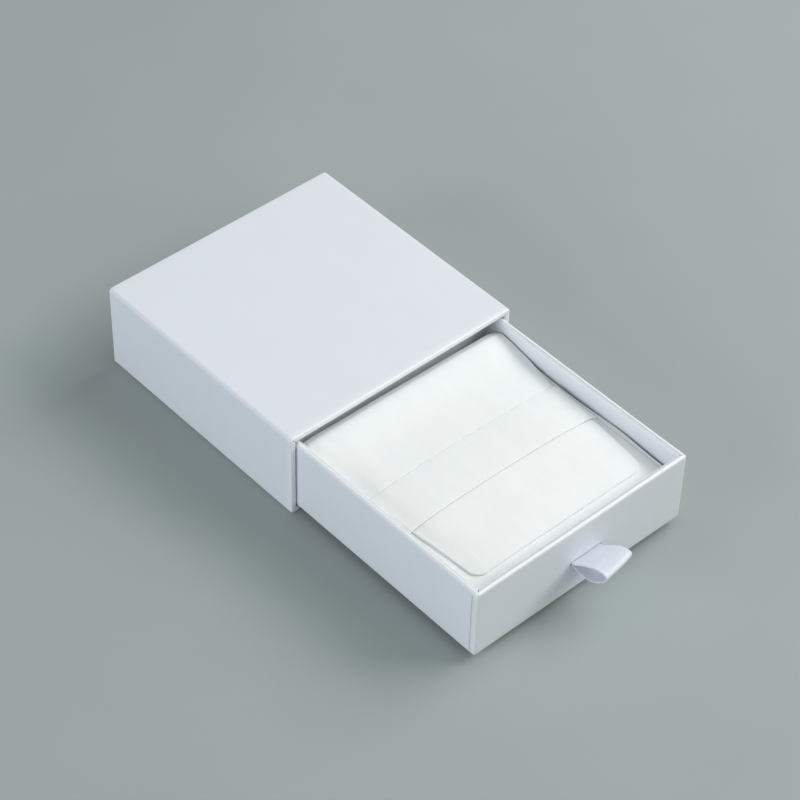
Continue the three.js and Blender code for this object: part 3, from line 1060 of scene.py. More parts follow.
@dataclass
class Tray(SubAssembly):
    """The sliding tray: a folded board blank with taped corners, wrapped and lined."""

    body: str = "drawer"
    paper: float = 0.2
    wall: float = 2.0
    corner_radius: float = 0.8
    foot_radius: float = 0.9
    rim_radius: float = 0.8
    inner_radius: float = 0.6
    turn_in: float = 12.0
    lap: float = 1.2
    lap_height: float = 0.12
    lap_joint: float = 0.25
    scored: float = 1.2
    score: float = 0.18
    score_depth: float = 0.16
    bow: float = 0.1
    uneven: float = 0.05
    rim_wave: float = 0.06
    rim_swell: float = 4.5
    tuck: float = 0.15
    slot_half: float = 0.5
    slot_play: float = 0.2
    rubbed: tuple[float, float] = (0.9, 0.6)

    def build(self) -> None:
        """Makes the wrap and dresses the rest."""
        self.space = Extent.of_node("tray_wrap")
        self.place(self.wrap(), Slot.WRAP, "tray_wrap")
        self.keep(Slot.GREYBOARD, "tray_board")
        self.keep(Slot.LINING, "tray_liner")
        ends, sides = ("front", "back"), ("left", "right")
        corners = [f"tray_corner_tape_{end}_{side}" for end in ends for side in sides]
        self.keep(Slot.KRAFT, *corners, "ribbon_tape")

    def profile(self) -> list[tuple[float, float]]:
        """The paper's way over the board, as its distance in from the outside and its height.

        Returns:
            An open line, from the middle of the underside, up the outside, over the rim, down
            inside, and back along the paper's glued side.
        """
        low, high = self.space.low[2], self.space.high[2]
        foot, rim, inner, paper, wall = (
            self.foot_radius, self.rim_radius, self.inner_radius, self.paper, self.wall)
        end = high - self.turn_in
        middle = (38.0, 30.0, 20.0, 10.0, 4.0, 1.8)
        return [
            *((inset, low) for inset in middle),
            *arc((foot, low + foot), foot, 270, 180, 7),
            *run((0, low + foot), (0, high - rim), 1.4),
            *arc((rim, high - rim), rim, 180, 90, 8), (self.scored, high),
            (self.scored + self.score / 2, high - self.score_depth),
            *arc((wall - inner, high - 0.04 - inner), inner, 70, 0, 6),
            *run((wall, high - inner), (wall, end), 1.0), (wall, end),
            (wall - paper, end), (wall - paper, high - 0.9), (wall - 0.7, high - 0.35),
            (rim, high - 0.3), (paper, high - 0.9), *run((paper, high - 0.9), (paper, low + 0.9), 3),
            (paper, low + 0.9), (0.9, low + paper),
            *((inset, low + paper) for inset in reversed(middle)),
        ]

    def wrap(self) -> bpy.types.Object:
        """Makes the tray's paper, slit for the pull.

        Returns:
            The paper.
        """
        space = self.space
        low, high, radius = space.low, space.high, self.corner_radius
        ends = (0.3, 0.7, self.lap, self.lap + 0.04, self.lap + self.lap_joint, self.lap + 0.5, 3)
        outline = Frame((space.size[0] - 2 * radius, space.size[1] - 2 * radius), pitch=2.0, ends=ends)
        sides = outline.sides()
        rings, folds, joints = [], [], []
        for inset, z in self.profile():
            flat = outline.points(low[:2] + inset, high[:2] - inset, max(radius - inset, 0.18))
            ring = np.column_stack([flat, np.full(len(flat), z)])
            rings.append(self.worked(ring, sides, inset, z))
            near_rim = smooth_step(np.full(len(flat), z), high[2] - 1.3, high[2] - 0.4)
            at_corner = np.where((sides > 3) & (inset < 0.3), self.rubbed[1], 0.0)
            folds.append(np.maximum(near_rim * self.rubbed[0], at_corner))
            joints.append(self.joint_shade(flat, sides, inset, z))
        made = make_shell("tray_paper", rings)
        set_weight(made.data, "fold", np.concatenate(folds))
        # Painted shade: this weight darkens the paper along its joints and the rim's score.
        set_weight(made.data, "joint_shade", np.concatenate(joints))
        return self.slit(made)

    def from_end(self, ring: np.ndarray) -> np.ndarray:
        """How far each point of the long walls is past its corner's curve."""
        reach = np.minimum(ring[:, 1] - self.space.low[1], self.space.high[1] - ring[:, 1])
        return reach - self.corner_radius

    def joint_shade(self, ring: np.ndarray, sides: np.ndarray, inset: float, z: float) -> np.ndarray:
        """Where painted shade darkens the paper in a line, partly the paper edge's own line: beside each
        upright corner, and along the rim's score.

        Args:
            ring: The ring's points, before they are worked.
            sides: Each point's side.
            inset: The ring's distance in from the outside.
            z: Its height.

        Returns:
            A share from 0 to 1 for each point.
        """
        space = self.space
        past = self.from_end(ring)
        long_wall = (sides == 1) | (sides == 3)
        outside = inset < 0.01 and z < space.high[2] - self.rim_radius
        lapped = long_wall & outside & (past > self.lap + 0.02) & (past < self.lap + self.lap_joint + 0.02)
        scored = self.scored < inset < self.scored + self.score and z > space.high[2] - 0.6
        return np.where(lapped | scored, 1.0, 0.0)

    def worked(self, ring: np.ndarray, sides: np.ndarray, inset: float, z: float) -> np.ndarray:
        """Bows the walls, laps the paper beside each upright corner and tucks it at the rim.

        Args:
            ring: The ring's points.
            sides: Each point's side.
            inset: The ring's distance in from the outside.
            z: Its height.

        Returns:
            The moved points.
        """
        space = self.space
        height = smooth_step(np.array([z]), space.low[2] + 1, space.high[2] - 2)[0]
        along = np.clip(1 - (2 * (ring[:, 1] - space.centre[1]) / space.size[1]) ** 2, 0, 1)
        moved = ring.copy()
        is_wall = inset <= self.wall and z > space.low[2] + 1
        if is_wall:
            lean = self.bow * height * along + self.uneven * ripple(ring, 13, 4)
            moved[sides == 1, 0] -= lean[sides == 1]
            moved[sides == 3, 0] += lean[sides == 3]
            moved[sides == 0, 1] += (self.uneven * ripple(ring, 14, 5))[sides == 0]
        at_rim = smooth_step(np.array([z]), space.high[2] - 1.4, space.high[2] - 0.3)[0]
        moved[:, 2] += at_rim * self.rim_wave * ripple(ring, self.rim_swell, 6)
        proud = (self.from_end(ring) < self.lap + 0.02) | (sides > 3)
        if inset < 0.01 and z > space.low[2] + 0.5:
            moved[proud, 0] += np.sign(ring[proud, 0]) * self.lap_height
        if self.rim_radius <= inset <= self.wall and z > space.high[2] - 0.4:
            moved[sides > 3, 2] -= self.tuck
        return moved

    def slit(self, made: bpy.types.Object) -> bpy.types.Object:
        """Cuts the slot that the pull's two tails go through.

        Args:
            made: The tray's paper.

        Returns:
            The same object, cut.
        """
        tails = Extent.of_node("ribbon_tails")
        middle = frame_joint("ribbon_flex")["pos_m"][2] / MM
        side, up = self.slot_play, self.slot_half
        low = np.array([tails.low[0] - side, self.space.low[1] - 1, middle - up])
        high = np.array([tails.high[0] + side, self.space.low[1] + 1, middle + up])
        spans = np.array([low, high])
        corners = np.array([(x, y, z) for z in spans[:, 2] for y in spans[:, 1] for x in spans[:, 0]])
        faces = [(0, 2, 3, 1), (4, 5, 7, 6), (0, 1, 5, 4), (2, 6, 7, 3), (0, 4, 6, 2), (1, 3, 7, 5)]
        knife = make_object("slot_knife", corners, faces)
        cut = made.modifiers.new("slot", "BOOLEAN")
        cut.operation = "DIFFERENCE"
        cut.object = knife
        finish_modifiers(made)
        bpy.data.objects.remove(knife)
        return made


# ---------------------------------------------------------------- ribbon pull


@dataclass
class RibbonPull(SubAssembly):
    """The satin pull: one ribbon, looped outside, its two tails glued inside the front wall."""

    body: str = "drawer"
    loop_body: str = "ribbon_pull"
    thickness: float = 0.3
    selvedge: float = 0.55
    skew: float = 0.84
    dish: float = 0.35
    wave: float = 0.25
    tilt: float = 0.35
    bend: float = 1.6
    pitch: float = 0.3
    tail_lift: float = 0.18

    def build(self) -> None:
        """Makes the ribbon in place of the CAD loop and tails."""
        self.loop = Extent.of_node("ribbon_loop")
        self.tails = Extent.of_node("ribbon_tails")
        ribbon = self.ribbon()
        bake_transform(ribbon)
        self.label(ribbon, Slot.SATIN, "ribbon_loop", "ribbon_tails")

    @property
    def height(self) -> float:
        """The slot's middle height."""
        return frame_joint("ribbon_flex")["pos_m"][2] / MM

    @property
    def width(self) -> float:
        """The ribbon's width."""
        return self.loop.size[0]

    def path(self) -> np.ndarray:
        """The ribbon's way from one tail's end to the other's, seen from the side.

        Returns:
            Points as y and z, one per row.
        """
        root, up = self.loop.high[1], self.height
        half = 0.5 * self.thickness + 0.05
        tail = self.tails.high[1] - self.tail_lift
        outside = [
            (0, half), (1.4, 0.9), (4.3, 3.2), (7.7, 5.4), (10.3, 6.3), (12.1, 6.5),
            (13.0, 6.1), (13.1, 5.2), (12.1, 3.4), (10.3, 1.4), (8.2, -0.1), (5.9, -1.0),
            (3.3, -1.15), (1.4, -0.7), (0, -half),
        ]
        curve = [(root - out, up + rise) for out, rise in outside]
        first = [(tail, self.tails.high[2]), (tail, up + 3), (tail, up + 1.1), (tail - 0.3, up + half)]
        last = [(tail - 0.3, up - half), (tail, up - 1.1), (tail, up - 3), (tail, self.tails.low[2])]
        return resample(np.array(first + curve + last), self.pitch)

    def ribbon(self) -> bpy.types.Object:
        """Sweeps the ribbon's section along its path, then skews and waves the loop a little.

        Returns:
            The ribbon.
        """
        line = self.path()
        self.path_length = length_of(line)
        base = make_line("ribbon_path", np.column_stack([np.zeros(len(line)), line]))
        made = self.recipe().grow(base, "ribbon", {
            "Width": self.width * MM, "Thickness": self.thickness * MM, "Selvedge": self.selvedge * MM})
        bpy.data.objects.remove(base)
        shape = points_of(made.data)
        if np.ptp(shape[:, 0]) < self.width * 0.9:
            raise RuntimeError("the ribbon's section lies the wrong way round")
        out = np.clip(self.loop.high[1] - shape[:, 1], 0, None) / self.loop.size[1]
        across = shape[:, 0] / (self.width / 2)
        shape[:, 1] += self.skew * across * out + self.dish * out**2 * across**2
        shape[:, 2] += self.wave * out * ripple(shape, 6, 8) + self.tilt * out * across
        shape[:, 0] += self.loop.centre[0]
        move_points(made.data, shape)
        return made

    def recipe(self) -> Recipe:
        """The sweep: a flat section with corded selvedges, and millimetres in its UV map.

        Returns:
            The recipe.
        """
        sizes = ("Width", "Thickness", "Selvedge")
        recipe = Recipe("ribbon_sweep", dict.fromkeys(sizes, "NodeSocketFloat"))
        given = recipe.given
        path = recipe.node("GeometryNodeMeshToCurve", {0: given["Geometry"]}).outputs[0]
        along = recipe.node("GeometryNodeSplineParameter").outputs["Length"]
        path = recipe.node("GeometryNodeStoreNamedAttribute", {
            "Geometry": path, "Name": "along", "Value": along}).outputs[0]
        section = recipe.node("GeometryNodeCurvePrimitiveQuadrilateral", {
            "Width": given["Width"], "Height": given["Thickness"]}).outputs[0]
        section = recipe.node("GeometryNodeResampleCurve", {"Curve": section, "Count": 96}).outputs[0]
        place = recipe.node("GeometryNodeInputPosition").outputs[0]
        parts = recipe.node("ShaderNodeSeparateXYZ", {0: place}).outputs
        section = recipe.node("GeometryNodeStoreNamedAttribute", {
            "Geometry": section, "Name": "across", "Value": parts[0]}).outputs[0]
        half_width = recipe.math("MULTIPLY", given["Width"], 0.5)
        inward = recipe.math("SUBTRACT", half_width, recipe.math("ABSOLUTE", parts[0]))
        cord = recipe.math("MULTIPLY", given["Selvedge"], 0.5)
        lip = recipe.math("MULTIPLY", given["Selvedge"], 0.3)
        share = recipe.node("ShaderNodeMapRange", {
            "Value": inward, "From Min": given["Selvedge"], "From Max": cord,
            "To Min": 1.0, "To Max": 1.5}, interpolation_type="SMOOTHSTEP").outputs[0]
        edge = recipe.node("ShaderNodeMapRange", {
            "Value": inward, "From Min": 0.0, "From Max": lip,
            "To Min": 0.35, "To Max": 1.0}, interpolation_type="SMOOTHSTEP").outputs[0]
        tall = recipe.math("MULTIPLY", parts[1], recipe.math("MULTIPLY", share, edge))
        moved = recipe.node("ShaderNodeCombineXYZ", {0: parts[0], 1: tall, 2: parts[2]}).outputs[0]
        section = recipe.node("GeometryNodeSetPosition", {"Geometry": section, "Position": moved}).outputs[0]
        swept = recipe.node("GeometryNodeCurveToMesh", {
            "Curve": path, "Profile Curve": section, "Fill Caps": True}).outputs[0]
        lie = [recipe.node("GeometryNodeInputNamedAttribute", {"Name": name}).outputs["Attribute"]
               for name in ("along", "across")]
        lie = [recipe.math("MULTIPLY", value, 1 / MM) for value in lie]
        flat = recipe.node("ShaderNodeCombineXYZ", {0: lie[0], 1: lie[1]}).outputs[0]
        mapped = {"Geometry": swept, "Name": "UVMap", "Value": flat}
        swept = recipe.node(
            "GeometryNodeStoreNamedAttribute", mapped, data_type="FLOAT2", domain="CORNER").outputs[0]
        recipe.close(swept, self.finishes[Slot.SATIN])
        return recipe


def frame_joint(name: str) -> dict:
    """A joint of the frame, by name."""
    return next(joint_shade for joint_shade in frame["joints"] if joint_shade["name"] == name)


def length_of(line: np.ndarray) -> float:
    """The length of a line through points, one per row."""
    return float(np.linalg.norm(np.diff(line, axis=0), axis=1).sum())


def make_line(name: str, points: np.ndarray) -> bpy.types.Object:
    """A mesh of edges through points, for a recipe to follow.

    Args:
        name: The object's name.
        points: The points, in millimetres, one per row.

    Returns:
        The object, in the scene.
    """
    mesh = bpy.data.meshes.new(name)
    edges = [(i, i + 1) for i in range(len(points) - 1)]
    mesh.from_pydata([tuple(point) for point in np.asarray(points) * MM], edges, [])
    made = bpy.data.objects.new(name, mesh)
    bpy.context.scene.collection.objects.link(made)
    return made


def resample(points: np.ndarray, pitch: float) -> np.ndarray:
    """Evenly spaced points on a smooth curve through the ones given.

    Args:
        points: The points that the curve goes through, one per row.
        pitch: The distance wanted between points.

    Returns:
        The new points, ends included.
    """
    before = np.vstack([2 * points[0] - points[1], points[:-1]])
    after = np.vstack([points[1:], 2 * points[-1] - points[-2]])
    slopes = (after - before) / 2
    fine = []
    for i in range(len(points) - 1):
        for t in np.linspace(0, 1, 24, endpoint=False):
            a, b, c, d = 2 * t**3 - 3 * t**2 + 1, t**3 - 2 * t**2 + t, -2 * t**3 + 3 * t**2, t**3 - t**2
            fine.append(a * points[i] + b * slopes[i] + c * points[i + 1] + d * slopes[i + 1])
    fine = np.array([*fine, points[-1]])
    length = np.concatenate([[0], np.cumsum(np.linalg.norm(np.diff(fine, axis=0), axis=1))])
    spots = np.linspace(0, length[-1], max(2, round(length[-1] / pitch)) + 1)
    return np.column_stack([np.interp(spots, length, fine[:, k]) for k in range(fine.shape[1])])


# ---------------------------------------------------------------- cushion


@dataclass
class Cushion(SubAssembly):
    """What lifts the pouch: a card riser, a foam pad and its flocked cover."""

    body: str = "drawer"
    cover: float = 0.45
    crown: float = 1.2
    edge_radius: float = 2.4
    corner_radius: float = 2.0
    top_insets: tuple[float, ...] = (9, 14, 20, 28, 36)
    fill: float = 0.9

    def build(self) -> None:
        """Makes the foam and its cover over the CAD riser."""
        self.keep(Slot.CARD, "insert_riser")
        foam, cover = Extent.of_node("foam_pad"), Extent.of_node("pad_cover")
        inner = self.pillow("foam_cushion", foam)
        self.place(inner, Slot.FOAM, "foam_pad")
        skin = self.skin(cover, foam)
        self.place(skin, Slot.FLOCK, "pad_cover")

    def top(self, x: np.ndarray, y: np.ndarray, space: Extent) -> np.ndarray:
        """How far the top has dropped below its height at the middle.

        Args:
            x: Places across the block.
            y: Places along it.
            space: The block's space.

        Returns:
            A drop for each place.
        """
        across = np.abs(x - space.centre[0]) / (space.size[0] / 2)
        along = np.abs(y - space.centre[1]) / (space.size[1] / 2)
        return self.crown * (1 - (1 - across**6) * (1 - along**6))

    def crowned(self, space: Extent, profile: list[tuple], lifts: Callable) -> list[np.ndarray]:
        """Rings round a block whose top is crowned.

        Args:
            space: The block's space.
            profile: Each ring's distance in from the outside, and its height.
            lifts: Gives how far a ring at a height shares in the crown, from 0 to 1.

        Returns:
            The rings, in order.
        """
        corner = self.corner_radius
        outline = Frame((space.size[0] - 2 * corner, space.size[1] - 2 * corner), pitch=4.0)
        rings = []
        for inset, z in profile:
            low, high = space.low[:2] + inset, space.high[:2] - inset
            flat = outline.points(low, high, max(corner - inset, 0.3))
            drop = self.top(flat[:, 0], flat[:, 1], space) * lifts(z)
            rings.append(np.column_stack([flat, z - drop]))
        return rings

    def pillow(self, name: str, space: Extent) -> bpy.types.Object:
        """A closed block with a crowned top and round edges.

        Args:
            name: The object's name.
            space: The block's space.

        Returns:
            The object.
        """
        radius, top = self.edge_radius, space.high[2]
        profile = [(0.0, z) for z in np.linspace(space.low[2], top - radius, 5)]
        profile += arc((radius, top - radius), radius, 180, 90, 6)[1:]
        profile += [(inset, top) for inset in (3, 5, *self.top_insets)]
        return make_shell(name, self.crowned(space, profile, lambda z: (z - space.low[2]) / space.size[2]))

    def skin(self, space: Extent, foam: Extent) -> bpy.types.Object:
        """The cover, open below: the same crown, a cover's thickness further out.

        Args:
            space: The cover's space.
            foam: The foam's space.

        Returns:
            The object.
        """
        radius, cover = self.edge_radius + self.cover, self.cover
        top = space.high[2]
        outside = [(0.0, z) for z in np.linspace(space.low[2], top - radius, 8)]
        inside = [(cover, z) for _, z in outside]
        outside += arc((radius, top - radius), radius, 180, 90, 6)[1:]
        inside += arc((radius, top - radius), radius - cover, 180, 90, 6)[1:]
        insets = (4, 6, *self.top_insets)
        outside += [(inset, top) for inset in insets]
        inside += [(inset, top - cover) for inset in insets]
        rings = self.crowned(
            space, outside[::-1] + inside,
            lambda z: smooth_step(np.array([z]), foam.low[2], foam.high[2])[0])
        return make_shell("cushion_cover", rings)


# ---------------------------------------------------------------- pouch


@dataclass
class Pouch(SubAssembly):
    """A folded microfibre envelope: pocket below, flap above, tucked under a strap."""

    body: str = "pouch"
    cloth: float = 0.7
    strap_cloth: float = 0.6
    pitch: float = 1.2
    allowance: float = 1.5
    puff: float = 1.0
    flap_tip: float = 3.0
    flap_back: float = 6.0
    set_back: float = 2.6
    skew: float = 0.018
    strap_bow: float = 0.9
    strap_skew: float = 0.012
    pinch: float = 0.72
    pinch_width: float = 0.28
    seam_depth: float = 0.3
    seam_width: float = 0.32
    seam_wander: float = 0.2
    edge_wander: float = 0.2
    rounding: float = 2.4
    layer_gap: float = 0.04
    strap_gap: float = 0.06
    mouth: float = 16.0
    stitch_pitch: float = 2.3
    stitch_length: float = 1.7
    thread: float = 0.26

    def build(self) -> None:
        """Makes the cloth, the strap and the stitches."""
        self.space = Extent.of_node("pouch_body")
        self.strap_space = Extent.of_node("pouch_band")
        self.front = self.space.low[1]
        self.back = self.space.high[1] + self.set_back
        self.half = self.space.high[0]
        self.floor = self.space.low[2] + self.cloth / 2
        cloth = self.folded_cloth()
        self.place(cloth, Slot.MICROFIBRE, "pouch_body")
        strap = self.strap()
        self.place(strap, Slot.MICROFIBRE, "pouch_band")
        seams = [self.seam(side) for side in (-1, 1)]

    # Heights of each layer's middle, over the whole pouch.

    def edge_height(self, y: np.ndarray) -> np.ndarray:
        """The front panel's height along its side seams, which wave a little.

        Args:
            y: Places along the pouch.

        Returns:
            A height for each place.
        """
        spots = self.front + np.array([0, 9, 20, 31, 42, 52, 60, 80])
        rises = [1.0, 1.3, 1.75, 1.6, 1.35, 1.2, 1.35, 1.45]
        return self.floor + np.interp(y, spots, rises)

    def front_height(self, x: np.ndarray, y: np.ndarray, sewn: bool = True) -> np.ndarray:
        """The front panel's height: held down at its seams, crowned between them.

        Args:
            x: Places across the pouch.
            y: Places along it.
            sewn: Whether the dip along the seams is wanted. The flap bridges it.

        Returns:
            A height for each place.
        """
        across = np.clip(np.abs(x) / (self.half - self.allowance), 0, 1)
        from_fold = smooth_step(y, self.front, self.front + 11)
        fullness = 3.2 + 9 * smooth_step(y, self.back - 38, self.back - 20)
        pressed = 1 - 0.4 * smooth_step(y, self.back - 40, self.back - 26)
        crown = (1 - across**fullness) * (0.25 + 0.75 * from_fold) * self.puff * pressed
        at_seam = np.exp(-(((np.abs(x) - self.seam_place(y)) / self.seam_width) ** 2))
        places = np.column_stack([x, y, np.zeros(len(x))])
        waves = 0.16 * ripple(places, 17, 11) + 0.05 * ripple(places, 6, 12)
        near_fold = smooth_step(y, self.front + 3, self.front)
        dip = self.seam_depth * at_seam if sewn else 0.0
        return self.edge_height(y) + crown + waves - dip - 0.15 * near_fold

    def seam_place(self, y: np.ndarray) -> np.ndarray:
        """How far each side seam is from the middle: it wanders a little."""
        return self.half - self.allowance + self.seam_wander * np.sin(y / 9.5 + 2.2)

    def strap_lean(self, x: np.ndarray) -> np.ndarray:
        """How far the strap bows and skews along Y, across the pouch."""
        return -self.strap_bow * (x / self.half) ** 2 - self.strap_skew * x

    def strap_edges(self, x: np.ndarray) -> tuple[np.ndarray, np.ndarray]:
        """The strap's front and rear edges, which bow together."""
        lean = self.strap_lean(x)
        return self.strap_space.low[1] + 0.2 + lean, self.strap_space.high[1] + lean

    def crease(self, x: np.ndarray, y: np.ndarray, on_flap: bool) -> np.ndarray:
        """How much painted shade the cloth gets where it dips: along the strap's edges, or along the seams.

        Args:
            x: Places across the pouch.
            y: Places along it.
            on_flap: Whether they are on the flap, under the strap.

        Returns:
            A share from 0 to 1 for each place.
        """
        if on_flap:
            near, far = self.strap_edges(x)
            behind, before = (
                np.exp(-(((gap - 0.15) / self.pinch_width) ** 2)) for gap in (y - far, near - y))
            return np.maximum(0.4 * behind, before)
        return 0.35 * np.exp(-(((np.abs(x) - self.seam_place(y)) / 0.3) ** 2))

    def flap_height(self, x: np.ndarray, y: np.ndarray) -> np.ndarray:
        """The flap's height: on the front panel, then up to the rear fold.

        Args:
            x: Places across the pouch.
            y: Places along it.

        Returns:
            A height for each place.
        """
        lying = self.front_height(x, y, sewn=False) + self.cloth + self.layer_gap
        tip = smooth_step(y, self.front + self.flap_back + 6, self.front + self.flap_back)
        side = smooth_step(np.abs(x), self.flap_half(y) - 5, self.flap_half(y))
        places = np.column_stack([x, y, np.zeros(len(x))])
        lying = lying + 0.06 * tip + 0.06 * side * ripple(places, 9, 13)
        near, far = self.strap_edges(x)
        behind = smooth_step(y - far, 0.12, 0.42) * smooth_step(y - far, 16, 1.5)
        before = smooth_step(near - y, 0.12, 0.42) * smooth_step(near - y, 13, 1.0)
        held = smooth_step(np.abs(x), self.flap_half(y), self.flap_half(y) - 6)
        lying = lying + self.pinch * (behind + 0.85 * before) * (0.35 + 0.65 * held)
        spots = self.back - np.array([30, 24, 20, 16, 12, 8.5, 5.5, 3.5])
        rises = np.array([0, 0.15, 0.4, 0.85, 1.5, 2.25, 2.75, 2.85]) - 0.15
        return lying + np.interp(y, spots, rises)

    def flap_half(self, y: np.ndarray) -> np.ndarray:
        """The flap's half width, which tapers towards its tip."""
        spots = self.back - np.array([74.1, 70.1, 49.6, 28.6, 16.6, 0])
        return np.interp(y, spots, [33.4, 34.4, 36.3, 37.9, self.half, self.half])

    def side_line(self) -> list[tuple[float, float, float]]:
        """The strip's way round, as y, height above the floor ply and how far up the folds it is.

        Returns:
            The strip from the pocket's mouth, round the front fold, back underneath, round the
            rear fold and over to the flap's tip. The third number is 0 on the front panel,
            1 on the front fold and the back panel, 2 on the rear fold and 3 on the flap.
        """
        mouth, fold = self.back - self.mouth, self.front + 0.8
        line = [(y, 0.0, 0) for y in np.arange(mouth, fold, -self.pitch)]
        turn = np.radians(np.linspace(90, 270, 9))
        line += [(fold + 0.45 * math.cos(a), math.sin(a), 1) for a in turn]
        line += [(y, -1.0, 1) for y in np.arange(fold + self.pitch, self.back - 13, self.pitch)]
        rear = np.array([
            (-13.0, 0.0), (-10, 0.2), (-6, 0.75), (-2.9, 1.6),
            (-0.75, 2.7), (-0.45, 3.6), (-1.5, 4.3), (-3.5, 4.55),
        ])
        line += [(self.back + y, rise, 2) for y, rise in resample(rear, 0.55)]
        tip = self.front + self.flap_back
        near, far = (float(edge[0]) for edge in self.strap_edges(np.zeros(1)))
        gaps = np.array([-0.5, 0.0, 0.12, 0.2, 0.28, 0.36, 0.44, 0.6, 0.9, 1.4, 2.0])
        fine = np.concatenate([far + gaps, near - gaps])
        plain = np.arange(tip + self.flap_tip + 0.6, self.back - 4.4, self.pitch)
        plain = plain[np.abs(plain[:, None] - fine[None, :]).min(axis=1) > 0.45]
        line += [(y, 0.0, 3) for y in np.sort(np.concatenate([plain, fine]))[::-1]]
        line += [(tip + self.flap_tip * (1 - math.sin(a)), 0.0, 3) for a in np.radians(np.linspace(0, 90, 7))]
        return line

    def folded_cloth(self) -> bpy.types.Object:
        """Makes the strip: its middle surface first, then its thickness and soft edges.

        Returns:
            The cloth.
        """
        ends = np.array([0, 0.4, 0.8, 1.15, 1.45, 1.7, 1.95, 2.25, 2.6, 3.1, 3.9, 5.0]) / self.half
        across = np.concatenate([-1 + ends, np.linspace(-0.84, 0.84, 54), (1 - ends)[::-1]])
        rings, crease_shades = [], []
        tip = self.front + self.flap_back
        low, high = self.strap_space.low[1], self.strap_space.high[1]
        for y, rise, part in self.side_line():
            ys = np.full(len(across), y)
            if part == 3:
                half = self.flap_half(ys)
                near_strap = smooth_step(ys, low - 14, low - 3) * smooth_step(ys, high + 14, high + 3)
                ys = ys + self.strap_lean(across * half) * near_strap
                near = np.clip((tip + self.flap_tip - y) / self.flap_tip, 0, 1)
                half = half - self.flap_tip * (1 - math.sqrt(max(0.0, 1 - near * near)))
                x = across * half
                z = self.flap_height(x, ys)
            elif part == 2:
                x = across * self.half
                crown = 1 - 0.02 * np.abs(across) ** 2 - 0.05 * np.abs(across) ** 24
                places = np.column_stack([x, ys, np.zeros(len(x))])
                z = self.floor + rise * crown + 0.0375 * rise * ripple(places, 12, 14)
                join = smooth_step(ys, self.back - 1.5, self.back - 3.5) * (rise > 3)
                z = z * (1 - join) + self.flap_height(x, ys) * join
                ys = ys - 1.2 * np.abs(across) ** 26 * min(1, rise)
            else:
                curl = np.clip((self.front + 3.0 - y) / 2.6, 0, 1)
                half = self.half - self.rounding * (1 - np.sqrt(np.clip(1 - curl * curl, 0, 1)))
                half = half - self.edge_wander * (1 - math.sin(y / 5.3 + 0.8))
                x = across * half
                top = self.front_height(x, ys)
                share = (1 + (rise if part else 1.0)) / 2
                z = self.floor + (top - self.floor) * share
            crease_shades.append(self.crease(x, ys, part == 3))
            ys = ys - self.skew * x * smooth_step(ys, self.back - 26, self.back - 6)
            rings.append(np.column_stack([x, ys, z]))
        middle = np.array([ring[len(ring) // 2] for ring in rings])
        self.strip_length = length_of(middle)
        made = make_object("pouch_cloth", np.vstack(rings), loft(rings, ring_closed=False), outward=False)
        # Painted shade: this weight greys the cloth along the strap's edges and the seams.
        set_weight(made.data, "crease", np.concatenate(crease_shades))
        thicken(made, self.cloth)
        return made

    def strap(self) -> bpy.types.Object:
        """Makes the strap: over the flap, and down to the seams beside it.

        Returns:
            The strap.
        """
        reach = self.half - self.allowance + 0.25
        ends = np.linspace(self.half - 5, reach, 12)
        xs = np.concatenate([-ends[::-1], np.linspace(-self.half + 6, self.half - 6, 52), ends])
        shares = np.array([0, 0.02, *np.linspace(0.08, 0.92, 13), 0.98, 1])
        near, far = self.strap_edges(xs)
        lift = (self.cloth + self.strap_cloth) / 2 + self.strap_gap
        rings = []
        for share in shares:
            line = near + (far - near) * share
            over = self.flap_height(xs, line) + lift
            beside = self.front_height(xs, line) + lift
            half = self.flap_half(line)
            down = smooth_step(np.abs(xs), half - 0.2, half + 1.3)
            z = over * (1 - down) + beside * down
            z = z - 0.35 * smooth_step(np.abs(xs), reach - 0.7, reach)
            z = z - 0.1 * smooth_step(np.abs(share - 0.5), 0.36, 0.5)
            rings.append(np.column_stack([xs, line, z]))
        made = make_object("pouch_strap", np.vstack(rings), loft(rings, ring_closed=False), outward=False)
        thicken(made, self.strap_cloth)
        return made

    def seam(self, side: int) -> bpy.types.Object:
        """Sews one side: a row of thread stitches laid along the seam.

        Args:
            side: -1 for the left side, 1 for the right one.

        Returns:
            The stitches.
        """
        ys = np.arange(self.front + 2.2, self.back - self.mouth - 0.5, 0.4)
        xs = side * self.seam_place(ys)
        near, far = self.strap_edges(xs)
        on_strap = smooth_step(ys - near, -0.6, 0.3) * smooth_step(ys - far, 0.6, -0.3)
        z = self.front_height(xs, ys) + self.cloth / 2 + on_strap * (self.strap_cloth + 0.05)
        base = make_line("seam_path", np.column_stack([xs, ys, z]))
        name = "pouch_seam_left" if side < 0 else "pouch_seam_right"
        node = "pouch_stitch_left" if side < 0 else "pouch_stitch_right"
        made = stitch_recipe(self.finishes[Slot.THREAD]).grow(base, name, {
            "Pitch": self.stitch_pitch * MM, "Length": self.stitch_length * MM,
            "Thickness": self.thread * MM, "Seed": 5 + side})
        bpy.data.objects.remove(base)
        return self.place(made, Slot.THREAD, node)


def thicken(made: bpy.types.Object, thickness: float) -> None:
    """Gives a sheet its thickness, half to each side, and rounds its cut edges.

    Args:
        made: The sheet.
        thickness: Its thickness, in millimetres.
    """
    solid = made.modifiers.new("thickness", "SOLIDIFY")
    solid.thickness = thickness * MM
    solid.offset = 0
    solid.use_even_offset = False
    smooth = made.modifiers.new("softness", "SUBSURF")
    smooth.levels = smooth.render_levels = 1
    finish_modifiers(made)
    turn_outward(made.data)
    made.data.shade_smooth()


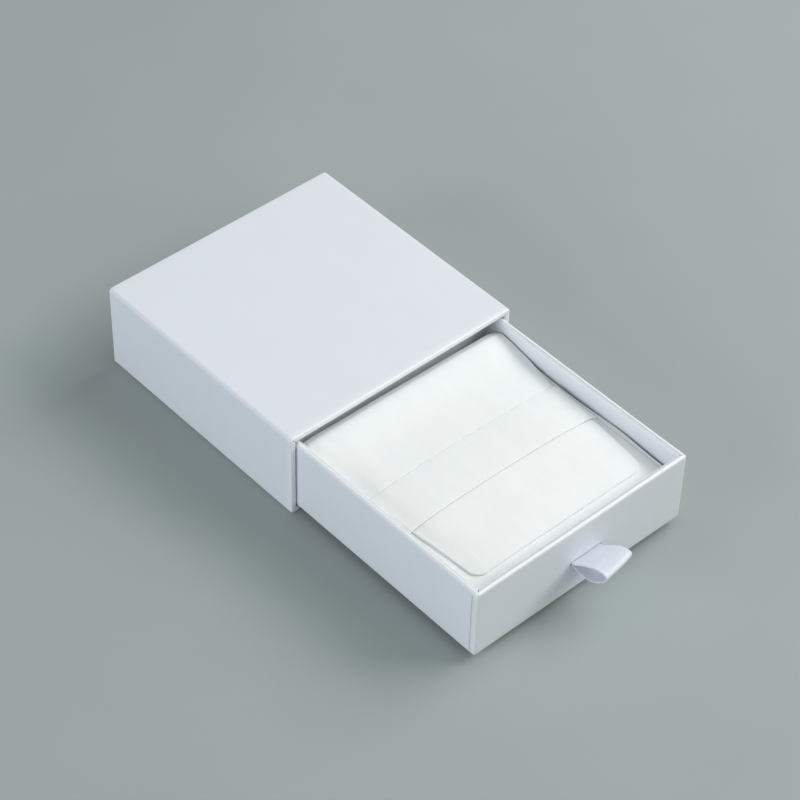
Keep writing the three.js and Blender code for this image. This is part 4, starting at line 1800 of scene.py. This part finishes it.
def stitch_recipe(material: bpy.types.Material) -> Recipe:
    """A row of lock stitches along a path, each a short thread that dips at both ends.

    Args:
        material: The thread.

    Returns:
        The recipe.
    """
    recipe = Recipe("stitch_row", {
        "Pitch": "NodeSocketFloat", "Length": "NodeSocketFloat", "Thickness": "NodeSocketFloat",
        "Seed": "NodeSocketInt"})
    given = recipe.given
    path = recipe.node("GeometryNodeMeshToCurve", {0: given["Geometry"]}).outputs[0]
    spaced = {"Curve": path, "Length": given["Pitch"]}
    path = recipe.node("GeometryNodeResampleCurve", spaced, mode="LENGTH").outputs[0]
    half = recipe.math("MULTIPLY", given["Length"], 0.5)
    dip = recipe.math("MULTIPLY", given["Thickness"], -0.75)
    rise = recipe.math("MULTIPLY", given["Thickness"], 0.95)
    ends = [recipe.node("ShaderNodeCombineXYZ", {0: reach, 2: dip}).outputs[0]
            for reach in (recipe.math("MULTIPLY", half, -1.0), half)]
    middle = recipe.node("ShaderNodeCombineXYZ", {2: rise}).outputs[0]
    thread = recipe.node("GeometryNodeCurveQuadraticBezier", {
        "Resolution": 6, "Start": ends[0], "Middle": middle, "End": ends[1]}).outputs[0]
    ring = recipe.node("GeometryNodeCurvePrimitiveCircle", {
        "Resolution": 6, "Radius": recipe.math("MULTIPLY", given["Thickness"], 0.5)}).outputs[0]
    stitch = recipe.node("GeometryNodeCurveToMesh", {
        "Curve": thread, "Profile Curve": ring, "Fill Caps": True}).outputs[0]
    tangent = recipe.node("GeometryNodeInputTangent").outputs[0]
    turn = recipe.node("FunctionNodeAlignRotationToVector", {"Vector": tangent}, axis="X").outputs[0]
    uneven = recipe.node("FunctionNodeRandomValue", {2: 0.9, 3: 1.08, "Seed": given["Seed"]}).outputs[1]
    row = recipe.node("GeometryNodeInstanceOnPoints", {
        "Points": path, "Instance": stitch, "Rotation": turn, "Scale": uneven}).outputs[0]
    recipe.close(row, material)
    return recipe


# ---------------------------------------------------------------- studio


@dataclass(frozen=True)
class Lamp:
    """A soft square light: its place and size in metres, and its power in watts."""

    name: str
    place: Point
    size: float
    power: float
    tint: Colour = (1.0, 1.0, 1.0)

    def hang(self, aim: Point) -> None:
        """Hangs the light, turned towards a place.

        Args:
            aim: The place, in metres.
        """
        light = bpy.data.lights.new(self.name, "AREA")
        light.size = self.size
        light.energy = self.power
        light.color = self.tint
        made = bpy.data.objects.new(self.name, light)
        made.location = self.place
        made.rotation_euler = (Vector(aim) - Vector(self.place)).to_track_quat("-Z", "Y").to_euler()
        bpy.context.scene.collection.objects.link(made)


@dataclass
class Studio:
    """The floor, the lights and the camera."""

    floor_size: float = 4.0
    aim: Point = (0.0, -0.04, 0.0)
    target: Point = (3.1, -39.9, 15.0)
    azimuth: float = -43.06
    elevation: float = 44.39
    distance: float = 804.3
    roll: float = 1.76
    lens: float = 116.3
    sky: Colour = (1.0, 1.0, 1.0)
    sky_strength: float = 0.3
    lamps: tuple[Lamp, ...] = (
        Lamp("key_right", (1.1, -0.15, 0.8), 0.6, 5.5, (0.90, 0.93, 1.0)),
        Lamp("key_high", (0.75, -0.1, 1.15), 0.6, 2.5, (0.86, 0.97, 1.0)),
        Lamp("key_front", (0.9, -0.7, 0.9), 0.6, 8.2, (1.0, 0.94, 0.87)),
        Lamp("fill_front", (0.2, -1.3, 0.9), 0.8, 2.7, (0.85, 1.0, 0.95)),
        Lamp("fill_left", (-1.3, 0.0, 0.45), 0.8, 8.5, (0.87, 0.93, 1.0)),
    )

    def build(self) -> None:
        """Sets them all up."""
        half = self.floor_size / MM / 2
        corners = np.array([(-half, -half, 0), (half, -half, 0), (half, half, 0), (-half, half, 0)])
        floor = make_object("floor", corners, [(0, 1, 2, 3)], outward=False)
        floor.data.materials.append(Backdrop().material())
        for lamp in self.lamps:
            lamp.hang(self.aim)
        world = bpy.data.worlds.new("studio")
        world.use_nodes = True
        sky = world.node_tree.nodes["Background"].inputs
        sky["Color"].default_value = (*self.sky, 1)
        sky["Strength"].default_value = self.sky_strength
        bpy.context.scene.world = world
        bpy.context.scene.view_settings.view_transform = "Standard"
        self.camera()

    def camera(self) -> None:
        """Places the camera: azimuth 0 looks along +Y, and a positive roll turns it anticlockwise."""
        turn, tilt = math.radians(self.azimuth), math.radians(self.elevation)
        gaze = Vector((-math.sin(turn) * math.cos(tilt), math.cos(turn) * math.cos(tilt), -math.sin(tilt)))
        level = gaze.cross(Vector((0, 0, 1))).normalized()
        upright = level.cross(gaze)
        bank = math.radians(self.roll)
        right = math.cos(bank) * level + math.sin(bank) * upright
        up = math.cos(bank) * upright - math.sin(bank) * level
        place = Vector(self.target) - gaze * self.distance
        view = Matrix((right, up, -gaze)).transposed().to_4x4()
        view.translation = place * MM
        lens = bpy.data.cameras.new("camera")
        lens.lens = self.lens
        lens.clip_start = 0.01
        made = bpy.data.objects.new("camera", lens)
        made.matrix_world = view
        bpy.context.scene.collection.objects.link(made)
        bpy.context.scene.camera = made


# ---------------------------------------------------------------- the whole box


def main() -> None:
    """Builds the box and its studio."""
    finishes = Finishes()
    for kind in (Sleeve, Tray, RibbonPull, Cushion, Pouch):
        log.info("building the %s", kind.__name__)
        kind(finishes).build()
    Studio().build()


if __name__ == "__main__":
    main()
